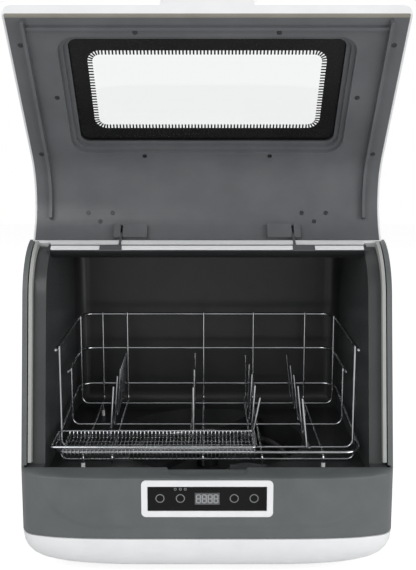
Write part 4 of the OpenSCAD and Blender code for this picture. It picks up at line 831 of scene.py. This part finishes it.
@dataclass
class FrontPanel:
    """The bowed front panel: a soft U-shaped fold, a rolled ledge and the finger recess, in millimetres."""

    grey: bpy.types.Material
    half: float = 215.0
    front: float = -198.8
    bow: float = 17.0
    bow_end: float = 0.93
    power: int = 6
    bottom: float = 56.35
    top: float = MOUTH_Z
    roll: float = 4.2
    wall: float = 2.6
    hole: tuple[float, float, float] = (70.5, 17.7, 105.5)
    fold_x: float = 195.0
    fold_r: float = 70.0
    fold_drop: float = 61.0
    fold_depth: float = 1.3
    fold_width: float = 7.0
    recess: tuple[float, float, float] = (47.0, 20.5, 9.0)
    recess_depth: float = 2.6
    recess_slope: float = 2.2

    def front_line(self) -> np.ndarray:
        """Gives the front curve in plan.

        The bow is y = front + bow * (x / half) ** power up to bow_end of the half width, and a circular
        arc tangent to it turns the corner to x = half.
        """
        xc = self.bow_end * self.half
        turn = math.atan(self.power * self.bow * self.bow_end ** (self.power - 1) / self.half)
        radius = (self.half - xc) / (1 - math.sin(turn))
        yc = self.front + self.bow * self.bow_end**self.power + radius * math.cos(turn)
        x = np.unique(np.concatenate([np.linspace(0, xc, 90), [self.hole[0], self.recess[0]]]))
        bow = np.stack([x, self.front + self.bow * (x / self.half) ** self.power], axis=-1)
        a = np.linspace(turn - math.pi / 2, 0, 18)[1:]
        arc = np.stack([self.half - radius + radius * np.cos(a), yc + radius * np.sin(a)], axis=-1)
        right = np.concatenate([bow, arc])
        right = right[right[:, 1] < MOUTH_Y - 0.3]
        return np.concatenate([right[:0:-1] * np.array([-1, 1]), right])

    def build(self) -> None:
        """Builds the panel as one sheet with a wall."""
        line = self.front_line()
        low, high = self.hole[2] - self.hole[1], self.hole[2] + self.hole[1]
        rise = np.concatenate([
            [self.bottom, self.bottom + 0.25, self.bottom + 0.8],
            np.linspace(58.5, low, 24),
            np.linspace(low, high, 22)[1:],
            np.linspace(high, self.top - self.roll, 5)[1:],
        ])
        edge = np.concatenate([[0.8, 0.25, 0.0], np.zeros(len(rise) - 3)])
        back = 1 - np.cos(np.linspace(0, math.pi / 2, 34)[1:])
        along = np.concatenate([np.zeros(len(rise)), back])
        drop = self.roll * (1 - np.sqrt(1 - (1 - back) ** 2))
        height = np.concatenate([rise, self.top - 0.05 - drop])
        inward = np.concatenate([edge, np.zeros(len(back))])
        x = np.broadcast_to(line[None, :, 0], (len(height), len(line))).copy()
        y = line[None, :, 1] + (MOUTH_Y - 0.3 - line[None, :, 1]) * along[:, None] + inward[:, None]
        z = np.broadcast_to(height[:, None], x.shape).copy()
        centre_z = MOUTH_Z + self.fold_r - self.fold_drop
        qx, qz = np.abs(x) - (self.fold_x - self.fold_r), centre_z - z
        outside = np.where(qz > 0, np.hypot(np.maximum(qx, 0), qz), qx) - self.fold_r
        fold = np.clip(outside / self.fold_width + 0.5, 0, 1)
        fold = fold * fold * (3 - 2 * fold) * (1 - along[:, None])
        y = y + self.fold_depth * fold
        half_x, reach, corner = self.recess
        rx, ry = np.abs(x) - (half_x - corner), (MOUTH_Y - reach + corner) - y
        inside = np.hypot(np.maximum(rx, 0), np.maximum(ry, 0)) + np.minimum(np.maximum(rx, ry), 0) - corner
        dip = np.clip(-inside / self.recess_slope, 0, 1)
        z = z - self.recess_depth * dip * dip * (3 - 2 * dip)
        points = np.stack([x, y, z], axis=-1).reshape(-1, 3)
        faces = grid_faces(len(height), len(line), False)
        centre = points[faces].mean(axis=1)
        keep = (np.abs(centre[:, 0]) > self.hole[0]) | (np.abs(centre[:, 2] - self.hole[2]) > self.hole[1])
        kept = faces[keep | (centre[:, 1] > MOUTH_Y - 20)]
        piece = new_piece("front_panel_sheet", points, kept, self.grey, 60.0)
        wall = piece.modifiers.new("wall", "SOLIDIFY")
        wall.thickness = self.wall * MM
        wall.offset = -1.0
        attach(piece, Body.HOUSING.value)
        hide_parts("front_panel")
        LOG.info("%s: %d faces", piece.name, len(piece.data.polygons))


class NodeDresser:
    """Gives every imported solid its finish."""

    def __init__(self) -> None:
        """Starts an empty store, so that each finish is built once, on first use."""
        self.made: dict[str, bpy.types.Material] = {}

    def material(self, finish: Finish | ClearGlass) -> bpy.types.Material:
        """Gives the finish's material, made on first use."""
        if finish.name not in self.made:
            self.made[finish.name] = finish.build()
        return self.made[finish.name]

    def dress(self, finishes: dict[str, Finish | ClearGlass]) -> None:
        """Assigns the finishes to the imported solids.

        Args:
            finishes: node name to finish.
        """
        for name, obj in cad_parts.items():
            material = self.material(finishes.get(name, BLACK_PA))
            obj.data.materials.clear()
            obj.data.materials.append(material)

    def smoothed(
        self, node: str, finish: Finish | ClearGlass, body: Body, angle: float
    ) -> bpy.types.Object:
        """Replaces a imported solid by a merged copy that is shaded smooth.

        Args:
            node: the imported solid.
            finish: its finish.
            body: the body that it moves with.
            angle: the sharpest angle that stays smooth, in degrees.

        Returns:
            The copy.
        """
        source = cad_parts[node]
        mesh = source.data.copy()
        work = bmesh.new()
        work.from_mesh(mesh)
        bmesh.ops.remove_doubles(work, verts=work.verts, dist=0.00001)
        work.to_mesh(mesh)
        work.free()
        if mesh.has_custom_normals:
            mesh.attributes.remove(mesh.attributes["custom_normal"])
        mesh.materials.clear()
        mesh.materials.append(self.material(finish))
        copy = bpy.data.objects.new(f"{node}_smooth", mesh)
        bpy.context.scene.collection.objects.link(copy)
        smooth_by_angle(copy, angle)
        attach(copy, body.value)
        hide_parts(node)
        LOG.info("%s: %d faces", copy.name, len(mesh.polygons))
        return copy


FINISHES: dict[str, Finish | ClearGlass] = {
    **dict.fromkeys(
        (
            "base_pan", "top_cover", "top_lip", "control_bezel", "lid_shell", "lid_handle", "float_cup",
            "rack_feet",
        ),
        WHITE_ABS,
    ),
    **dict.fromkeys(
        ("front_panel", "left_side_panel", "right_side_panel", "rear_panel", "filter_cup"),
        GREY_ABS,
    ),
    **dict.fromkeys(("lid_liner", "hinge_brackets", "hinge_boxes"), LINER_ABS),
    **dict.fromkeys(
        ("tub_floor", "tub_well", "tub_shell", "tub_sides", "sump", "fan_housing", "air_duct"),
        TUB_PP,
    ),
    **dict.fromkeys(("rubber_feet", "fill_hose", "drain_hose", "cord_gland", "glass_gasket"), BLACK_RUBBER),
    **dict.fromkeys(("pump_rotor", "inlet_valve", "drain_spigot", "air_break"), NATURAL_PP),
    **dict.fromkeys(("heater", "filter_plate"), SHEET_STEEL),
    **dict.fromkeys(("body_screws", "hinge_pins", "lid_magnet"), WIRE_STEEL),
    **dict.fromkeys(("power_board", "control_board"), SOLDER_RESIST),
    # The lining's screws take steel painted dark, a painted shade for their recesses
    "liner_screws": SCREW_STEEL_PAINTED_SHADE,
    "door_seal": SEAL_RUBBER,
    "lid_edge_seal": EDGE_RUBBER,
    "lid_glass": GLASS,
    "touch_panel": TOUCH_PMMA,
    "display_module": DISPLAY_PC,
}


@dataclass
class Studio:
    """The camera, the lamps and the white floor."""

    eye: tuple[float, float, float] = (0.0, MOUTH_Y - 967.8, MOUTH_Z + 377.1)
    pitch: float = math.radians(9.6)
    focal_px: float = 880.0
    centre_px: tuple[float, float] = (207.2, 285.0)
    aim: tuple[float, float, float] = (0.0, 0.0, 0.3)
    room_light: float = 0.42
    floor_glow: float = 1.56
    floor_glow_share: float = 0.5
    floor_half: float = 4000.0
    lamps: tuple[tuple[str, tuple[float, float, float], float, float], ...] = (
        ("key_lamp", (-1.2, -2.0, 1.6), 1.4, 20.0),
        ("fill_lamp", (1.7, -1.7, 0.9), 1.4, 22.0),
        ("top_lamp", (0.0, 0.2, 2.6), 1.6, 5.0),
        ("rear_lamp", (0.4, 2.0, 1.6), 1.4, 9.0),
    )

    def camera(self) -> None:
        """Places the camera where the photograph was taken from."""
        data = bpy.data.cameras.new("photo_camera")
        data.sensor_width = 36.0
        data.lens = self.focal_px / PHOTO_HEIGHT * data.sensor_width
        data.shift_x = (PHOTO_WIDTH / 2 - self.centre_px[0]) / PHOTO_HEIGHT
        data.shift_y = (self.centre_px[1] - PHOTO_HEIGHT / 2) / PHOTO_HEIGHT
        data.clip_start, data.clip_end = 0.05, 30.0
        camera = bpy.data.objects.new("photo_camera", data)
        camera.location = [v * MM for v in self.eye]
        camera.rotation_euler = (math.pi / 2 - self.pitch, 0.0, 0.0)
        bpy.context.scene.collection.objects.link(camera)
        bpy.context.scene.camera = camera

    def lamp(self, name: str, place: tuple[float, float, float], size: float, power: float) -> None:
        """Adds a square soft lamp aimed at the object's middle."""
        data = bpy.data.lights.new(name, "AREA")
        data.shape = "SQUARE"
        data.size = size
        data.energy = power
        lamp = bpy.data.objects.new(name, data)
        lamp.location = place
        aim = np.array(self.aim) - np.array(place)
        yaw = math.atan2(aim[0], -aim[1])
        tilt = math.atan2(math.hypot(aim[0], aim[1]), -aim[2])
        lamp.rotation_euler = (tilt, 0.0, yaw + math.pi)
        bpy.context.scene.collection.objects.link(lamp)

    def world(self) -> None:
        """Makes a world that is white to the camera and softer as light."""
        world = bpy.data.worlds.new("studio")
        bpy.context.scene.world = world
        world.use_nodes = True
        tree = world.node_tree
        tree.nodes.clear()
        path = add_node(tree, "ShaderNodeLightPath")
        seen = add_node(tree, "ShaderNodeMath", {"operation": "MAXIMUM"}, None,
                        {0: (path, "Is Camera Ray"), 1: (path, "Is Transmission Ray")})
        level = add_node(tree, "ShaderNodeMapRange", None, {"To Min": self.room_light, "To Max": 1.0},
                         {"Value": (seen, "Value")})
        sky = add_node(tree, "ShaderNodeBackground", None, {"Color": (1, 1, 1, 1)},
                       {"Strength": (level, "Result")})
        add_node(tree, "ShaderNodeOutputWorld", links={"Surface": (sky, "Background")})

    def floor(self) -> None:
        """Lays a white floor that keeps a soft shadow."""
        points = self.floor_half * np.array([(-1, -1, 0), (1, -1, 0), (1, 1, 0), (-1, 1, 0)])
        material = bpy.data.materials.new("studio_floor")
        material.use_nodes = True
        tree = material.node_tree
        tree.nodes.clear()
        path = add_node(tree, "ShaderNodeLightPath")
        share = add_node(tree, "ShaderNodeMapRange", None, {"To Min": 0.0, "To Max": self.floor_glow_share},
                         {"Value": (path, "Is Camera Ray")})
        paper = add_node(tree, "ShaderNodeBsdfDiffuse", None, {"Color": linear_rgb("#F4F4F4")})
        glow = add_node(tree, "ShaderNodeEmission", None,
                        {"Color": (1, 1, 1, 1), "Strength": self.floor_glow})
        both = add_node(tree, "ShaderNodeMixShader", None, None,
                        {"Fac": (share, "Result"), 1: (paper, "BSDF"), 2: (glow, "Emission")})
        add_node(tree, "ShaderNodeOutputMaterial", links={"Surface": (both, "Shader")})
        new_piece("studio_floor_sheet", points, [(0, 1, 2, 3)], material)

    def build(self) -> None:
        """Sets up the whole studio."""
        bpy.context.scene.view_settings.view_transform = "Standard"
        self.camera()
        self.world()
        self.floor()
        for name, place, size, power in self.lamps:
            self.lamp(name, place, size, power)


def main() -> None:
    """Builds every piece in order."""
    logging.basicConfig(level=logging.INFO, format="%(name)s %(message)s")
    Studio().build()
    dresser = NodeDresser()
    dresser.dress(FINISHES)
    steel = dresser.material(WIRE_STEEL)
    DishRack(steel).build()
    CutleryTray(steel).build()
    WindowPrint(dresser.material(FRIT_ENAMEL)).build()
    FrontPanel(dresser.material(GREY_ABS)).build()
    TouchMarks(dresser.material(RING_INK), dresser.material(SEGMENT_PC)).build()
    for node, finish, body, slot, angle in (
        ("lid_shell", WHITE_ABS, Body.LID, Slot.WHITE, 30.0),
        ("lid_liner", LINER_ABS, Body.LID, Slot.LINER, 30.0),
        ("tub_floor", TUB_PP, Body.HOUSING, Slot.DARK, 30.0),
        ("tub_well", TUB_PP, Body.HOUSING, Slot.DARK, 30.0),
        ("tub_shell", TUB_PP, Body.HOUSING, Slot.DARK, 30.0),
        # The tub's sides take the tub's polypropylene painted lighter, for the room light that falls on them
        ("tub_sides", TUB_PAINTED_LIT_PP, Body.HOUSING, Slot.DARK, 30.0),
        ("base_pan", WHITE_ABS, Body.HOUSING, Slot.WHITE, 30.0),
        ("left_side_panel", GREY_ABS, Body.HOUSING, Slot.GREY, 30.0),
        ("right_side_panel", GREY_ABS, Body.HOUSING, Slot.GREY, 30.0),
        ("top_cover", WHITE_ABS, Body.HOUSING, Slot.WHITE, 30.0),
        ("control_bezel", WHITE_ABS, Body.HOUSING, Slot.WHITE, 30.0),
    ):
        dresser.smoothed(node, finish, body, angle)


if __name__ == "__main__":
    main()
